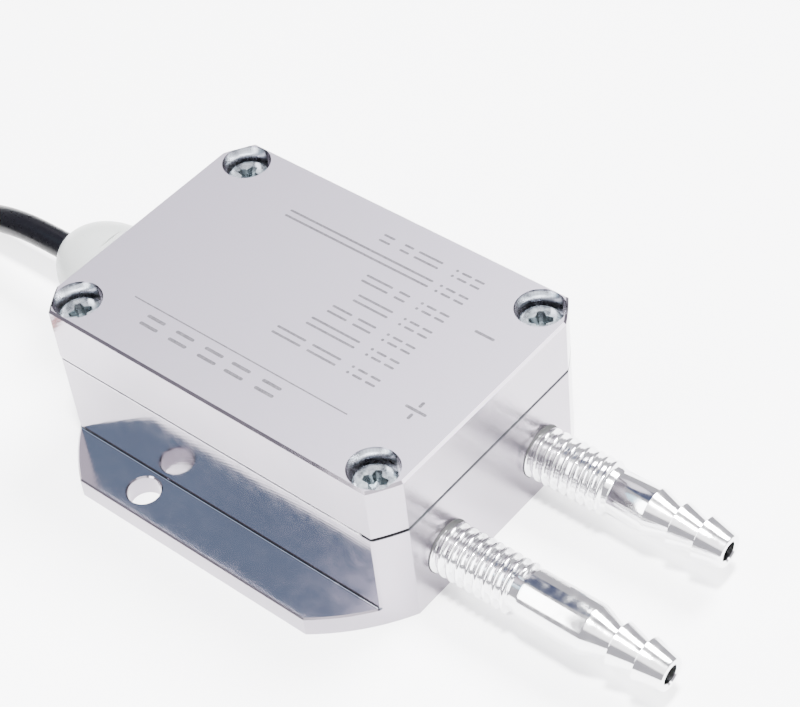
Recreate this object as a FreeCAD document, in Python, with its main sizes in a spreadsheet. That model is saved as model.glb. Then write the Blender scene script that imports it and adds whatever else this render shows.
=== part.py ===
import FreeCAD, Part
import math
import os
import re
import Sketcher

# Differential pressure transmitter: an aluminium housing turned and milled from round bar, two
# threaded hose barbs on one end, a cable gland with its lead on the other, and the electronics
# inside. Millimetres. X runs along the housing towards the hose barbs, Z up. The origin is the
# centre of the face that the housing is mounted on.

SIZES = {
    # Housing, cut from a round blank that leaves a thin rim outside the corner counterbores
    "corner_rim": 0.163,
    "housing_length": 79.0,
    "housing_width": 54.0,
    "base_height": 22.0,
    "flange_reach": 9.25,
    "flange_thickness": 4.2,
    "end_wall": 9.5,
    "side_wall": 5.0,
    "floor_thickness": 3.5,
    "cavity_corner": 6.4,
    "flange_edge_break": 0.3,
    "flange_root_fillet": 0.4,
    "base_edge_break": 0.15,
    "mount_hole_diameter": 6.2,
    "mount_hole_offset": 15.4,
    "mount_hole_inset": 4.95,
    "mount_hole_break": 0.25,
    # Cover and its seal
    "cover_thickness": 11.5,
    "cover_hollow": 6.0,
    "cover_bevel": 0.45,
    "cover_lower_bevel": 0.2,
    "seam_gap": 0.25,
    "groove_inset": 1.0,
    "groove_width": 1.6,
    "groove_depth": 0.9,
    "gasket_clearance": 0.1,
    # Cover screws, M4 pan head with a cross recess
    "screw_inset_end": 5.75,
    "screw_inset_side": 5.0,
    "screw_diameter": 4.0,
    "screw_length": 16.0,
    "screw_head_diameter": 7.9,
    "screw_head_height": 3.1,
    "screw_head_bevel": 0.7,
    "screw_recess_width": 4.4,
    "screw_recess_slot": 1.1,
    "screw_recess_depth": 2.0,
    "screw_hole_clearance": 0.25,
    "screw_hole_spare": 1.5,
    "counterbore_diameter": 9.1,
    "counterbore_depth": 6.0,
    # Hose barb fittings, M10 thread and 8 mm hose
    "port_pitch": 26.0,
    "port_height": 9.4,
    "port_thread_diameter": 10.0,
    "port_thread_chamfer": 0.6,
    "port_bore": 3.6,
    "port_bore_inner": 2.4,
    "port_bore_step": 1.0,
    "port_spigot_diameter": 4.0,
    "port_spigot_length": 5.0,
    "barb_length": 5.0,
    "barb_diameter": 8.5,
    "barb_root_diameter": 5.5,
    "barb_tip_diameter": 6.0,
    "high_thread_out": 17.1,
    "high_shank_diameter": 9.35,
    "high_shank_length": 13.0,
    "high_first_barb": 9.35,
    "low_thread_out": 16.3,
    "low_shank_diameter": 8.3,
    "low_shank_length": 7.45,
    "low_first_barb": 8.9,
    # Hoses from the fittings to the sensor
    "hose_wall": 1.0,
    "hose_end_gap": 0.3,
    # Pressure sensor module, as wide as its ports need
    "sensor_length": 14.0,
    "sensor_side_margin": 3.0,
    "sensor_height": 9.0,
    "sensor_port_length": 4.8,
    "sensor_cap_height": 2.0,
    "sensor_cap_inset": 1.5,
    # Circuit board on its sleeves
    "board_length": 35.5,
    "board_width": 39.0,
    "board_thickness": 1.6,
    "board_corner": 4.0,
    "board_edge_gap": 0.5,
    "board_hole_inset": 3.5,
    "board_hole_to_sensor": 3.7,
    "spacer_height": 2.0,
    "spacer_diameter": 5.0,
    "board_screw_diameter": 2.5,
    "board_screw_grip": 2.4,
    "board_screw_head": 4.5,
    "board_screw_head_height": 1.8,
    "board_screw_slot": 0.7,
    "board_screw_slot_depth": 0.8,
    "board_screw_spare": 0.2,
    # Parts on the board
    "terminal_depth": 8.5,
    "terminal_width": 10.4,
    "terminal_height": 10.0,
    "terminal_pitch": 5.08,
    "terminal_inset": 8.0,
    "terminal_entry": 2.6,
    "terminal_entry_height": 4.0,
    "terminal_screw_diameter": 3.2,
    "terminal_screw_length": 3.0,
    "terminal_screw_sink": 0.6,
    "trimmer_length": 9.5,
    "trimmer_width": 4.8,
    "trimmer_height": 8.0,
    "trimmer_gap": 1.0,
    "trimmer_screw_diameter": 2.2,
    "trimmer_screw_height": 1.2,
    "trimmer_screw_inset": 1.8,
    "adjuster_slot": 0.5,
    "adjuster_slot_depth": 0.5,
    "chip_length": 5.0,
    "chip_width": 4.0,
    "chip_height": 1.5,
    "chip_leg_pitch": 1.27,
    "chip_leg_width": 0.42,
    "chip_leg_reach": 1.0,
    "chip_leg_thickness": 0.25,
    "chip_inset": 4.0,
    "chip_side": 9.0,
    "capacitor_diameter": 6.3,
    "capacitor_height": 7.7,
    "capacitor_foot": 6.6,
    "capacitor_foot_height": 1.0,
    "capacitor_inset": 4.0,
    "capacitor_side": 9.0,
    "diode_length": 4.4,
    "diode_width": 2.6,
    "diode_height": 2.2,
    "diode_inset": 4.2,
    # Cable gland
    "gland_hole_cover": 0.5,
    "gland_thread_diameter": 15.2,
    "gland_thread_length": 9.0,
    "gland_flats": 20.0,
    "gland_collar": 5.0,
    "gland_washer_thickness": 1.0,
    "gland_washer_diameter": 18.6,
    "gland_spigot_diameter": 15.0,
    "gland_spigot_length": 8.0,
    "gland_bore": 8.0,
    "gland_seal_length": 10.0,
    "gland_seal_diameter": 11.0,
    "dome_diameter": 19.6,
    "dome_flat_depth": 0.4,
    "dome_skirt": 5.0,
    "dome_length": 13.7,
    "dome_hole_clearance": 0.15,
    # Lead, its cores and its coil
    "lead_diameter": 5.4,
    "lead_tail": 1.5,
    "core_diameter": 1.6,
    "core_pitch": 2.0,
    "core_strip": 1.5,
    "strand_diameter": 0.9,
    "strand_length": 6.0,
    "coil_radius": 29.7,
    "coil_width": 16.2,
    "coil_height": 10.4,
    "coil_stub_length": 21.0,
    "coil_stub_inset": 0.3,
    "tie_width": 5.0,
    "tie_thickness": 0.6,
}

# The lead's way from the gland down to the coil, on the surface that the housing stands on.
# Its first point is the gland's mouth.
LEAD_ROUTE = [
    (-72.5, 0.0, 13.0),
    (-81.0, 0.1, 11.5),
    (-89.0, 0.5, 8.4),
    (-96.0, 1.1, 5.2),
    (-103.5, 1.5, 3.6),
    (-111.0, 1.5, 3.6),
]
# The lead's free end, which leaves the coil's upper layer and comes down beside it
COIL_LEAVES = (-111.0, -68.1, 8.0)
END_ROUTE = [
    COIL_LEAVES,
    (-104.0, -68.1, 8.0),
    (-96.0, -67.5, 6.1),
    (-88.0, -65.9, 3.6),
    (-80.5, -63.2, 2.8),
    (-73.5, -59.4, 2.8),
]
# The two cores it ends in: side of the lead, straight length, then the points that follow
END_CORES = {
    "end_core_red": (1, 4.5, [(-66.2, -53.2, 1.9), (-63.6, -49.0, 1.1), (-62.4, -44.2, 0.9)]),
    "end_core_black": (-1, 5.0, [(-63.7, -56.6, 1.9), (-58.5, -56.4, 1.1), (-53.3, -57.4, 0.9)]),
}

document = FreeCAD.newDocument("pressure_transmitter")
sheet = document.addObject("Spreadsheet::Sheet", "Sizes")
for row, (alias, amount) in enumerate(SIZES.items(), start=1):
    sheet.set(f"A{row}", alias)
    sheet.set(f"B{row}", str(amount))
    sheet.setAlias(f"B{row}", alias)
document.recompute()
parts = []

COVER_BOTTOM = "(base_height + seam_gap)"
SCREW_SEAT = "(base_height + seam_gap + cover_thickness - counterbore_depth)"
SCREW_X = "(housing_length / 2 - screw_inset_end)"
SCREW_Y = "(housing_width / 2 - screw_inset_side)"
BLANK_RADIUS = (
    f"(sqrt({SCREW_X} * {SCREW_X} + {SCREW_Y} * {SCREW_Y}) + counterbore_diameter / 2 + corner_rim)"
)
CAVITY_X = "(housing_length / 2 - end_wall)"
CAVITY_Y = "(housing_width / 2 - side_wall)"
BOARD_BOTTOM = "(floor_thickness + spacer_height)"
BOARD_TOP = "(floor_thickness + spacer_height + board_thickness)"
BOARD_BACK = "(board_edge_gap - housing_length / 2 + end_wall)"
SENSOR_FACE = f"({BOARD_BACK} + board_length)"
FRONT_HOLES = "(board_length - sensor_length - board_hole_to_sensor)"
TERMINAL_FACE = f"({BOARD_BACK} + terminal_inset)"
TRIMMER_Y = "(terminal_width / 2 + trimmer_gap + trimmer_width / 2)"
GLAND_HEIGHT = "(base_height - groove_depth - gland_hole_cover - gland_thread_diameter / 2)"
GLAND_MOUTH = (
    "(-housing_length / 2 - gland_washer_thickness - gland_collar - dome_skirt - dome_length)"
)
JACKET_END = "(gland_thread_length + lead_tail - housing_length / 2)"


def bound(text):
    """The expression with each named size pointed at the sheet."""
    return re.sub(r"[a-z_]+", lambda word: f"Sizes.{word[0]}" if word[0] in SIZES else word[0], text)


def value(text):
    return float(sheet.evalExpression(bound(text)))


def bind(item, **links):
    """Ties properties to size expressions; a double underscore in a name stands for a dot."""
    for name, text in links.items():
        item.setExpression(name.replace("__", "."), bound(text))


def new_body(label, x="0", y="0", z="0"):
    body = document.addObject("PartDesign::Body", label)
    body.Label = label
    body.AllowCompound = True
    bind(body, Placement__Base__x=x, Placement__Base__y=y, Placement__Base__z=z)
    parts.append(body)
    return body


def origin_feature(body, role):
    return next(item for item in body.Origin.OriginFeatures if item.Role == role)


def new_sketch(body, plane="XY_Plane", offset="0"):
    sketch = body.newObject("Sketcher::SketchObject", f"{body.Name}_sketch")
    sketch.AttachmentSupport = (origin_feature(body, plane), [""])
    sketch.MapMode = "FlatFace"
    bind(sketch, AttachmentOffset__Base__z=offset)
    return sketch


def pin(sketch, edge, end, across, up):
    """Holds a point of the sketch at a place given by two size expressions."""
    for kind, text in (("DistanceX", across), ("DistanceY", up)):
        index = sketch.addConstraint(Sketcher.Constraint(kind, -1, 1, edge, end, value(text)))
        sketch.setExpression(f"Constraints[{index}]", bound(text))


def spot(across, up):
    return FreeCAD.Vector(value(across), value(up), 0)


def outline(sketch, corners, arcs=None):
    """A closed outline through corners, each a pair of size expressions.

    Its edges are straight, except those that arcs names: it maps the number of an edge's first
    corner to a point that the edge passes through as an arc.
    """
    arcs = arcs or {}
    spots = [spot(across, up) for across, up in corners]
    first = sketch.GeometryCount
    count = len(spots)
    starts = []
    ends = []
    for index in range(count):
        start, end = spots[index], spots[(index + 1) % count]
        if index in arcs:
            edge = sketch.addGeometry(Part.Arc(start, spot(*arcs[index]), end))
            forward = sketch.getPoint(edge, 1).isEqual(start, 1e-6)
        else:
            edge = sketch.addGeometry(Part.LineSegment(start, end))
            forward = True
        starts.append((edge, 1 if forward else 2))
        ends.append((edge, 2 if forward else 1))
    for index, (across, up) in enumerate(corners):
        sketch.addConstraint(Sketcher.Constraint("Coincident", *ends[index - 1], *starts[index]))
        pin(sketch, *starts[index], across, up)
    for index, (across, up) in arcs.items():
        point = sketch.addGeometry(Part.Point(spot(across, up)), True)
        pin(sketch, point, 1, across, up)
        sketch.addConstraint(Sketcher.Constraint("PointOnObject", point, 1, first + index))


def rectangle(sketch, left, bottom, right, top):
    outline(sketch, [(left, bottom), (right, bottom), (right, top), (left, top)])


def circle(sketch, diameter, across="0", up="0"):
    centre = FreeCAD.Vector(value(across), value(up), 0)
    edge = sketch.addGeometry(Part.Circle(centre, FreeCAD.Vector(0, 0, 1), value(diameter) / 2))
    index = sketch.addConstraint(Sketcher.Constraint("Diameter", edge, value(diameter)))
    sketch.setExpression(f"Constraints[{index}]", bound(diameter))
    pin(sketch, edge, 3, across, up)


def rounded_rectangle(sketch, half_length, half_width, radius):
    """A rectangle about the sketch's origin with tangent corner arcs."""
    length, width, corner = value(half_length), value(half_width), value(radius)
    inner_x, inner_y = length - corner, width - corner
    first = sketch.GeometryCount
    quarter = math.pi / 2
    centres = [(inner_x, inner_y), (-inner_x, inner_y), (-inner_x, -inner_y), (inner_x, -inner_y)]
    for index, centre in enumerate(centres):
        ring = Part.Circle(FreeCAD.Vector(*centre, 0), FreeCAD.Vector(0, 0, 1), corner)
        sketch.addGeometry(Part.ArcOfCircle(ring, index * quarter, (index + 1) * quarter))
    for index in range(4):
        start = sketch.getPoint(first + index, 2)
        end = sketch.getPoint(first + (index + 1) % 4, 1)
        sketch.addGeometry(Part.LineSegment(start, end))
    for index in range(4):
        arc, after, line = first + index, first + (index + 1) % 4, first + 4 + index
        sketch.addConstraint(Sketcher.Constraint("Tangent", arc, 2, line, 1))
        sketch.addConstraint(Sketcher.Constraint("Tangent", line, 2, after, 1))
        direction = "Horizontal" if index % 2 == 0 else "Vertical"
        sketch.addConstraint(Sketcher.Constraint(direction, line))
    for index in range(1, 4):
        sketch.addConstraint(Sketcher.Constraint("Equal", first, first + index))
    index = sketch.addConstraint(Sketcher.Constraint("Radius", first, corner))
    sketch.setExpression(f"Constraints[{index}]", bound(radius))
    pin(sketch, first, 3, f"{half_length} - ({radius})", f"{half_width} - ({radius})")
    pin(sketch, first + 2, 3, f"({radius}) - {half_length}", f"({radius}) - {half_width}")


def pad(body, sketch, length):
    feature = body.newObject("PartDesign::Pad", f"{body.Name}_pad")
    feature.Profile = sketch
    bind(feature, Length=length)
    document.recompute()
    return feature


def cut_feature(body, kind, sketch, set_up):
    """Adds a feature that removes material, and stops if it removes none."""
    document.recompute()
    before = body.Shape.Volume
    feature = body.newObject(f"PartDesign::{kind}", f"{body.Name}_{kind.lower()}")
    feature.Profile = sketch
    set_up(feature)
    document.recompute()
    if not body.Shape.Volume < before - 1e-6:
        raise RuntimeError(f"{feature.Name} cuts nothing")
    return feature


def pocket(body, sketch, depth, towards_normal=False):
    def set_up(feature):
        feature.Reversed = towards_normal
        bind(feature, Length=depth)

    return cut_feature(body, "Pocket", sketch, set_up)


def revolve(body, sketch, axis, angle="360"):
    feature = body.newObject("PartDesign::Revolution", f"{body.Name}_revolution")
    feature.Profile = sketch
    feature.ReferenceAxis = (sketch, [axis])
    feature.Midplane = True
    bind(feature, Angle=angle)
    document.recompute()
    return feature


def dress_edges(body, kind, size, chosen):
    """Bevels or rounds the edges of the body's tip for which chosen(edge) is true."""
    tip = body.Tip
    names = [f"Edge{index}" for index, edge in enumerate(tip.Shape.Edges, start=1) if chosen(edge)]
    feature = body.newObject(f"PartDesign::{kind}", f"{body.Name}_{kind.lower()}")
    feature.Base = (tip, names)
    bind(feature, **{"Radius" if kind == "Fillet" else "Size": size})
    document.recompute()
    return feature


def level_edges(height):
    """Chooses the edges that lie flat at a height of the body's own frame."""
    level = value(height)
    return lambda edge: all(abs(vertex.Z - level) < 1e-4 for vertex in edge.Vertexes) and (
        edge.BoundBox.ZLength < 1e-4
    )


def pattern(body, features, length, width):
    """Repeats features at the four corners of a rectangle that starts where they stand."""
    feature = body.newObject("PartDesign::LinearPattern", f"{body.Name}_pattern")
    feature.Originals = features
    feature.Direction = (origin_feature(body, "X_Axis"), [""])
    feature.Occurrences = 2
    feature.Direction2 = (origin_feature(body, "Y_Axis"), [""])
    feature.Occurrences2 = 2
    bind(feature, Length=length, Length2=width)
    body.Tip = feature
    document.recompute()
    return feature


def row_pattern(body, features, width):
    """Repeats features once, further along Y."""
    feature = body.newObject("PartDesign::LinearPattern", f"{body.Name}_pattern")
    feature.Originals = features
    feature.Direction = (origin_feature(body, "Y_Axis"), [""])
    feature.Occurrences = 2
    bind(feature, Length=width)
    body.Tip = feature
    document.recompute()
    return feature


def mill_flats(body, half_span, along_x, top, depth):
    """Mills the round blank down to a flat on both sides of the centre."""
    beyond = "(2 * housing_length)"
    sketch = new_sketch(body, offset=top)
    for near, far in ((half_span, beyond), (f"-{beyond}", f"-{half_span}")):
        if along_x:
            rectangle(sketch, near, f"-{beyond}", far, beyond)
        else:
            rectangle(sketch, f"-{beyond}", near, beyond, far)
    pocket(body, sketch, depth)


def corner_circles(sketch, diameter):
    for side in ("", "-"):
        for end in ("", "-"):
            circle(sketch, diameter, f"{end}{SCREW_X}", f"{side}{SCREW_Y}")


def make_base():
    """The housing: blank, milled ends and sides, flanges, cavity, seal groove and holes."""
    body = new_body("base_housing")
    blank = new_sketch(body)
    circle(blank, f"2 * {BLANK_RADIUS}")
    pad(body, blank, "base_height")
    mill_flats(body, "(housing_length / 2)", True, "base_height", "base_height")
    mill_flats(body, "(housing_width / 2 + flange_reach)", False, "base_height", "base_height")
    mill_flats(body, "(housing_width / 2)", False, "base_height", "base_height - flange_thickness")
    dress_edges(body, "Chamfer", "base_edge_break", level_edges("base_height"))
    on_flange = level_edges("flange_thickness")
    wall = value("housing_width / 2")
    dress_edges(
        body,
        "Fillet",
        "flange_root_fillet",
        lambda edge: on_flange(edge) and all(abs(abs(end.Y) - wall) < 1e-4 for end in edge.Vertexes),
    )
    flange_edge = value("housing_width / 2 + flange_reach / 4")
    dress_edges(
        body,
        "Chamfer",
        "flange_edge_break",
        lambda edge: on_flange(edge) and abs(edge.CenterOfMass.y) > flange_edge,
    )
    cavity = new_sketch(body, offset="base_height")
    rounded_rectangle(cavity, CAVITY_X, CAVITY_Y, "cavity_corner")
    pocket(body, cavity, "base_height - floor_thickness")
    groove = new_sketch(body, offset="base_height")
    for inset in ("groove_inset", "(groove_inset + groove_width)"):
        rounded_rectangle(
            groove, f"({CAVITY_X} + {inset})", f"({CAVITY_Y} + {inset})", f"(cavity_corner + {inset})"
        )
    pocket(body, groove, "groove_depth")
    tapped = new_sketch(body, offset="base_height")
    corner_circles(tapped, "screw_diameter")
    pocket(body, tapped, "screw_length + screw_hole_spare + counterbore_depth - cover_thickness - seam_gap")
    ports = new_sketch(body, "YZ_Plane", "housing_length / 2")
    for side in ("", "-"):
        circle(ports, "port_thread_diameter", f"{side}port_pitch / 2", "port_height")
    pocket(body, ports, "end_wall")
    gland = new_sketch(body, "YZ_Plane", "-housing_length / 2")
    circle(gland, "gland_thread_diameter", "0", GLAND_HEIGHT)
    pocket(body, gland, "end_wall", towards_normal=True)
    mounting = new_sketch(body, offset="flange_thickness")
    hole_y = "(housing_width / 2 + flange_reach - mount_hole_inset)"
    circle(mounting, "mount_hole_diameter", "-mount_hole_offset", f"-{hole_y}")
    circle(mounting, "mount_hole_diameter", "mount_hole_offset", hole_y)
    pocket(body, mounting, "flange_thickness")
    dress_edges(
        body,
        "Chamfer",
        "mount_hole_break",
        lambda edge: on_flange(edge) and isinstance(edge.Curve, Part.Circle) and edge.Closed,
    )
    board = new_sketch(body, offset="floor_thickness")
    for along in ("board_hole_inset", FRONT_HOLES):
        for side in ("", "-"):
            across = f"{side}(board_width / 2 - board_hole_inset)"
            circle(board, "board_screw_diameter", f"{BOARD_BACK} + {along}", across)
    pocket(body, board, "board_screw_grip + board_screw_spare")


def make_cover():
    """The cover: a plate of the same outline, hollow below, with counterbored corner holes."""
    body = new_body("cover", z=COVER_BOTTOM)
    blank = new_sketch(body)
    circle(blank, f"2 * {BLANK_RADIUS}")
    pad(body, blank, "cover_thickness")
    mill_flats(body, "(housing_length / 2)", True, "cover_thickness", "cover_thickness")
    mill_flats(body, "(housing_width / 2)", False, "cover_thickness", "cover_thickness")
    dress_edges(body, "Chamfer", "cover_bevel", level_edges("cover_thickness"))
    dress_edges(body, "Chamfer", "cover_lower_bevel", level_edges("0"))
    hollow = new_sketch(body)
    rounded_rectangle(hollow, CAVITY_X, CAVITY_Y, "cavity_corner")
    pocket(body, hollow, "cover_hollow", towards_normal=True)
    counterbores = new_sketch(body, offset="cover_thickness")
    corner_circles(counterbores, "counterbore_diameter")
    pocket(body, counterbores, "counterbore_depth")
    holes = new_sketch(body, offset="cover_thickness")
    corner_circles(holes, "screw_diameter + 2 * screw_hole_clearance")
    pocket(body, holes, "cover_thickness")


def make_gasket():
    """The cord seal in the base's groove, standing proud by the seam gap."""
    body = new_body("cover_gasket", z="base_height - groove_depth")
    ring = new_sketch(body)
    for inset in (
        "(groove_inset + gasket_clearance)",
        "(groove_inset + groove_width - gasket_clearance)",
    ):
        rounded_rectangle(
            ring, f"({CAVITY_X} + {inset})", f"({CAVITY_Y} + {inset})", f"(cavity_corner + {inset})"
        )
    pad(body, ring, "groove_depth + seam_gap")


def cross_outline(sketch, width, slot):
    """The outline of a cross recess about the sketch's origin."""
    wide, thin = f"{width} / 2", f"{slot} / 2"
    corners = []
    for across, up in (("", ""), ("-", ""), ("-", "-"), ("", "-")):
        steps = [(wide, thin), (thin, thin), (thin, wide)]
        if across != up:
            steps.reverse()
        corners += [(f"{across}{first}", f"{up}{second}") for first, second in steps]
    outline(sketch, corners)


def make_cover_screws():
    """Four pan-head screws with a cross recess, seated on the counterbores' floors."""
    body = new_body("cover_screws", f"-{SCREW_X}", f"-{SCREW_Y}", SCREW_SEAT)
    profile = new_sketch(body, "XZ_Plane")
    rim = "screw_head_diameter / 2"
    outline(
        profile,
        [
            ("0", "-screw_length"),
            ("screw_diameter / 2", "-screw_length"),
            ("screw_diameter / 2", "0"),
            (rim, "0"),
            (rim, "screw_head_height - screw_head_bevel"),
            (f"{rim} - screw_head_bevel", "screw_head_height"),
            ("0", "screw_head_height"),
        ],
    )
    turned = revolve(body, profile, "V_Axis")
    recess = new_sketch(body, offset="screw_head_height")
    cross_outline(recess, "screw_recess_width", "screw_recess_slot")
    driven = pocket(body, recess, "screw_recess_depth")
    pattern(body, [turned, driven], f"2 * {SCREW_X}", f"2 * {SCREW_Y}")


def make_fitting(label, side, prefix):
    """A turned fitting: inner spigot, thread, shank and three barbs, bored through."""
    body = new_body(label, "housing_length / 2", f"{side}port_pitch / 2", "port_height")
    thread_end = f"{prefix}_thread_out"
    shank_end = f"({thread_end} + {prefix}_shank_length)"
    tip = f"({shank_end} + 3 * barb_length)"
    spigot_end = "-(end_wall + port_spigot_length)"
    profile = new_sketch(body, "XZ_Plane")
    corners = [
        (spigot_end, "port_bore_inner / 2"),
        (spigot_end, "port_spigot_diameter / 2"),
        ("-end_wall", "port_spigot_diameter / 2"),
        ("-end_wall", "port_thread_diameter / 2 - port_thread_chamfer"),
        ("port_thread_chamfer - end_wall", "port_thread_diameter / 2"),
        (f"{thread_end} - port_thread_chamfer", "port_thread_diameter / 2"),
        (thread_end, "port_thread_diameter / 2 - port_thread_chamfer"),
        (thread_end, f"{prefix}_shank_diameter / 2"),
        (shank_end, f"{prefix}_shank_diameter / 2"),
    ]
    if SIZES[f"{prefix}_first_barb"] > SIZES[f"{prefix}_shank_diameter"]:
        corners.append((shank_end, f"{prefix}_first_barb / 2"))
    for barb in (1, 2):
        shoulder = f"{shank_end} + {barb} * barb_length"
        corners.append((shoulder, "barb_root_diameter / 2"))
        corners.append((shoulder, "barb_diameter / 2"))
    corners += [
        (tip, "barb_tip_diameter / 2"),
        (tip, "port_bore / 2"),
        ("port_bore_step", "port_bore / 2"),
        ("port_bore_step", "port_bore_inner / 2"),
    ]
    outline(profile, corners)
    revolve(body, profile, "H_Axis")


def rounded_wire(points, radii_of=""):
    """Straight runs joined by tangent arcs, each as large as its two runs allow."""
    spots = [FreeCAD.Vector(*point) for point in points]
    edges = []
    radii = []
    start = spots[0]
    for before, corner, after in zip(spots, spots[1:], spots[2:]):
        back = (before - corner).normalize()
        ahead = (after - corner).normalize()
        half_turn = (math.pi - back.getAngle(ahead)) / 2
        shorter = min((before - corner).Length, (after - corner).Length)
        tangent = 0.45 * shorter
        radius = tangent / math.tan(half_turn)
        radii.append(radius)
        enter = corner + back * tangent
        leave = corner + ahead * tangent
        middle = (back + ahead).normalize()
        on_arc = corner + middle * (radius / math.cos(half_turn) - radius)
        edges.append(Part.LineSegment(start, enter).toShape())
        edges.append(Part.Arc(enter, on_arc, leave).toShape())
        start = leave
    edges.append(Part.LineSegment(start, spots[-1]).toShape())
    if radii_of:
        print(radii_of, "bend radii", [round(radius, 1) for radius in radii])
    return Part.Wire(edges)


def swept(wire, diameter):
    """A round bar along a wire, with its volume compared with section times length."""
    start = wire.Edges[0].Vertexes[0].Point
    direction = wire.Edges[0].tangentAt(wire.Edges[0].FirstParameter)
    section = Part.Wire([Part.Circle(start, direction, diameter / 2).toShape()])
    bar = wire.makePipeShell([section], True, True)
    expected = math.pi * diameter * diameter / 4 * wire.Length
    if abs(bar.Volume / expected - 1) > 0.01:
        raise RuntimeError(f"sweep volume {bar.Volume:.2f}, expected {expected:.2f}")
    return bar


def new_feature(label, shape):
    feature = document.addObject("Part::Feature", label)
    feature.Label = label
    feature.Shape = shape
    parts.append(feature)
    return feature


def make_hose(label, side):
    """A hose between a fitting's spigot and the sensor's port, pushed over both."""
    start = f"({SENSOR_FACE} + hose_end_gap)"
    body = new_body(label, start, f"{side}port_pitch / 2", "port_height")
    wall = new_sketch(body, "YZ_Plane")
    circle(wall, "port_spigot_diameter + 2 * hose_wall")
    circle(wall, "port_spigot_diameter")
    pad(body, wall, f"{CAVITY_X} - hose_end_gap - {start}")


def make_sensor():
    """The sensor module: a block with a stepped cap and two bored ports, flush with the board."""
    body = new_body("pressure_sensor", f"{SENSOR_FACE} - sensor_length / 2", z=BOARD_TOP)
    half_length, half_width = "sensor_length / 2", "(port_pitch / 2 + sensor_side_margin)"
    block = new_sketch(body)
    rectangle(block, f"-{half_length}", f"-{half_width}", half_length, half_width)
    pad(body, block, "sensor_height - sensor_cap_height")
    cap = new_sketch(body, offset="sensor_height - sensor_cap_height")
    inset = "sensor_cap_inset"
    rounded_rectangle(cap, f"({half_length} - {inset})", f"({half_width} - {inset})", inset)
    pad(body, cap, "sensor_cap_height")
    port_z = f"port_height - {BOARD_TOP}"
    ports = new_sketch(body, "YZ_Plane", half_length)
    bores = new_sketch(body, "YZ_Plane", f"{half_length} + sensor_port_length")
    for side in ("", "-"):
        circle(ports, "port_spigot_diameter", f"{side}port_pitch / 2", port_z)
        circle(bores, "port_bore_inner", f"{side}port_pitch / 2", port_z)
    pad(body, ports, "sensor_port_length")
    pocket(body, bores, "2 * sensor_port_length")


def make_board():
    body = new_body("circuit_board", f"{BOARD_BACK} + board_length / 2", z=BOARD_BOTTOM)
    edge = new_sketch(body)
    rounded_rectangle(edge, "board_length / 2", "board_width / 2", "board_corner")
    pad(body, edge, "board_thickness")
    holes = new_sketch(body, offset="board_thickness")
    for along in ("board_hole_inset", FRONT_HOLES):
        for side in ("", "-"):
            across = f"{side}(board_width / 2 - board_hole_inset)"
            circle(holes, "board_screw_diameter", f"{along} - board_length / 2", across)
    pocket(body, holes, "board_thickness")


def board_corner_body(label, height):
    """A body that starts over the board's first screw hole."""
    return new_body(
        label, f"{BOARD_BACK} + board_hole_inset", "board_hole_inset - board_width / 2", height
    )


def board_corner_pattern(body, features):
    pattern(body, features, f"{FRONT_HOLES} - board_hole_inset", "board_width - 2 * board_hole_inset")


def make_board_fixings():
    """Sleeves below the board, and slotted screws through board and sleeves into the floor."""
    spacers = board_corner_body("board_spacers", "floor_thickness")
    ring = new_sketch(spacers)
    circle(ring, "spacer_diameter")
    circle(ring, "board_screw_diameter")
    board_corner_pattern(spacers, [pad(spacers, ring, "spacer_height")])
    screws = board_corner_body("board_screws", BOARD_TOP)
    shank = new_sketch(screws, offset="-(board_thickness + spacer_height + board_screw_grip)")
    circle(shank, "board_screw_diameter")
    shank_pad = pad(screws, shank, "board_thickness + spacer_height + board_screw_grip")
    head = new_sketch(screws)
    circle(head, "board_screw_head")
    head_pad = pad(screws, head, "board_screw_head_height")
    slot = new_sketch(screws, offset="board_screw_head_height")
    rectangle(
        slot,
        "-board_screw_head",
        "-board_screw_slot / 2",
        "board_screw_head",
        "board_screw_slot / 2",
    )
    slot_cut = pocket(screws, slot, "board_screw_slot_depth")
    board_corner_pattern(screws, [shank_pad, head_pad, slot_cut])


def make_terminal():
    """The two-way terminal block, and its clamp screws."""
    x = f"({TERMINAL_FACE} + terminal_depth / 2)"
    body = new_body("terminal_block", x, z=BOARD_TOP)
    block = new_sketch(body)
    rectangle(
        block, "-terminal_depth / 2", "-terminal_width / 2", "terminal_depth / 2", "terminal_width / 2"
    )
    pad(body, block, "terminal_height")
    entries = new_sketch(body, "YZ_Plane", "-terminal_depth / 2")
    wells = new_sketch(body, offset="terminal_height")
    for side in ("", "-"):
        circle(entries, "terminal_entry", f"{side}terminal_pitch / 2", "terminal_entry_height")
        circle(wells, "terminal_screw_diameter", "0", f"{side}terminal_pitch / 2")
    pocket(body, entries, "terminal_depth / 2", towards_normal=True)
    pocket(body, wells, "terminal_screw_length + terminal_screw_sink")
    seat = f"{BOARD_TOP} + terminal_height - terminal_screw_sink"
    screws = new_body("terminal_screws", x, "-terminal_pitch / 2", seat)
    make_slotted_pin(screws, "terminal_screw_diameter", "terminal_screw_length", "terminal_pitch")


def make_slotted_pin(body, diameter, length, spacing):
    """Two slotted screws whose tops are at the body's own origin height."""
    rod = new_sketch(body, offset=f"-{length}")
    circle(rod, diameter)
    rod_pad = pad(body, rod, length)
    slot = new_sketch(body)
    rectangle(slot, f"-{diameter}", "-adjuster_slot / 2", diameter, "adjuster_slot / 2")
    row_pattern(body, [rod_pad, pocket(body, slot, "adjuster_slot_depth")], spacing)


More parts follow.
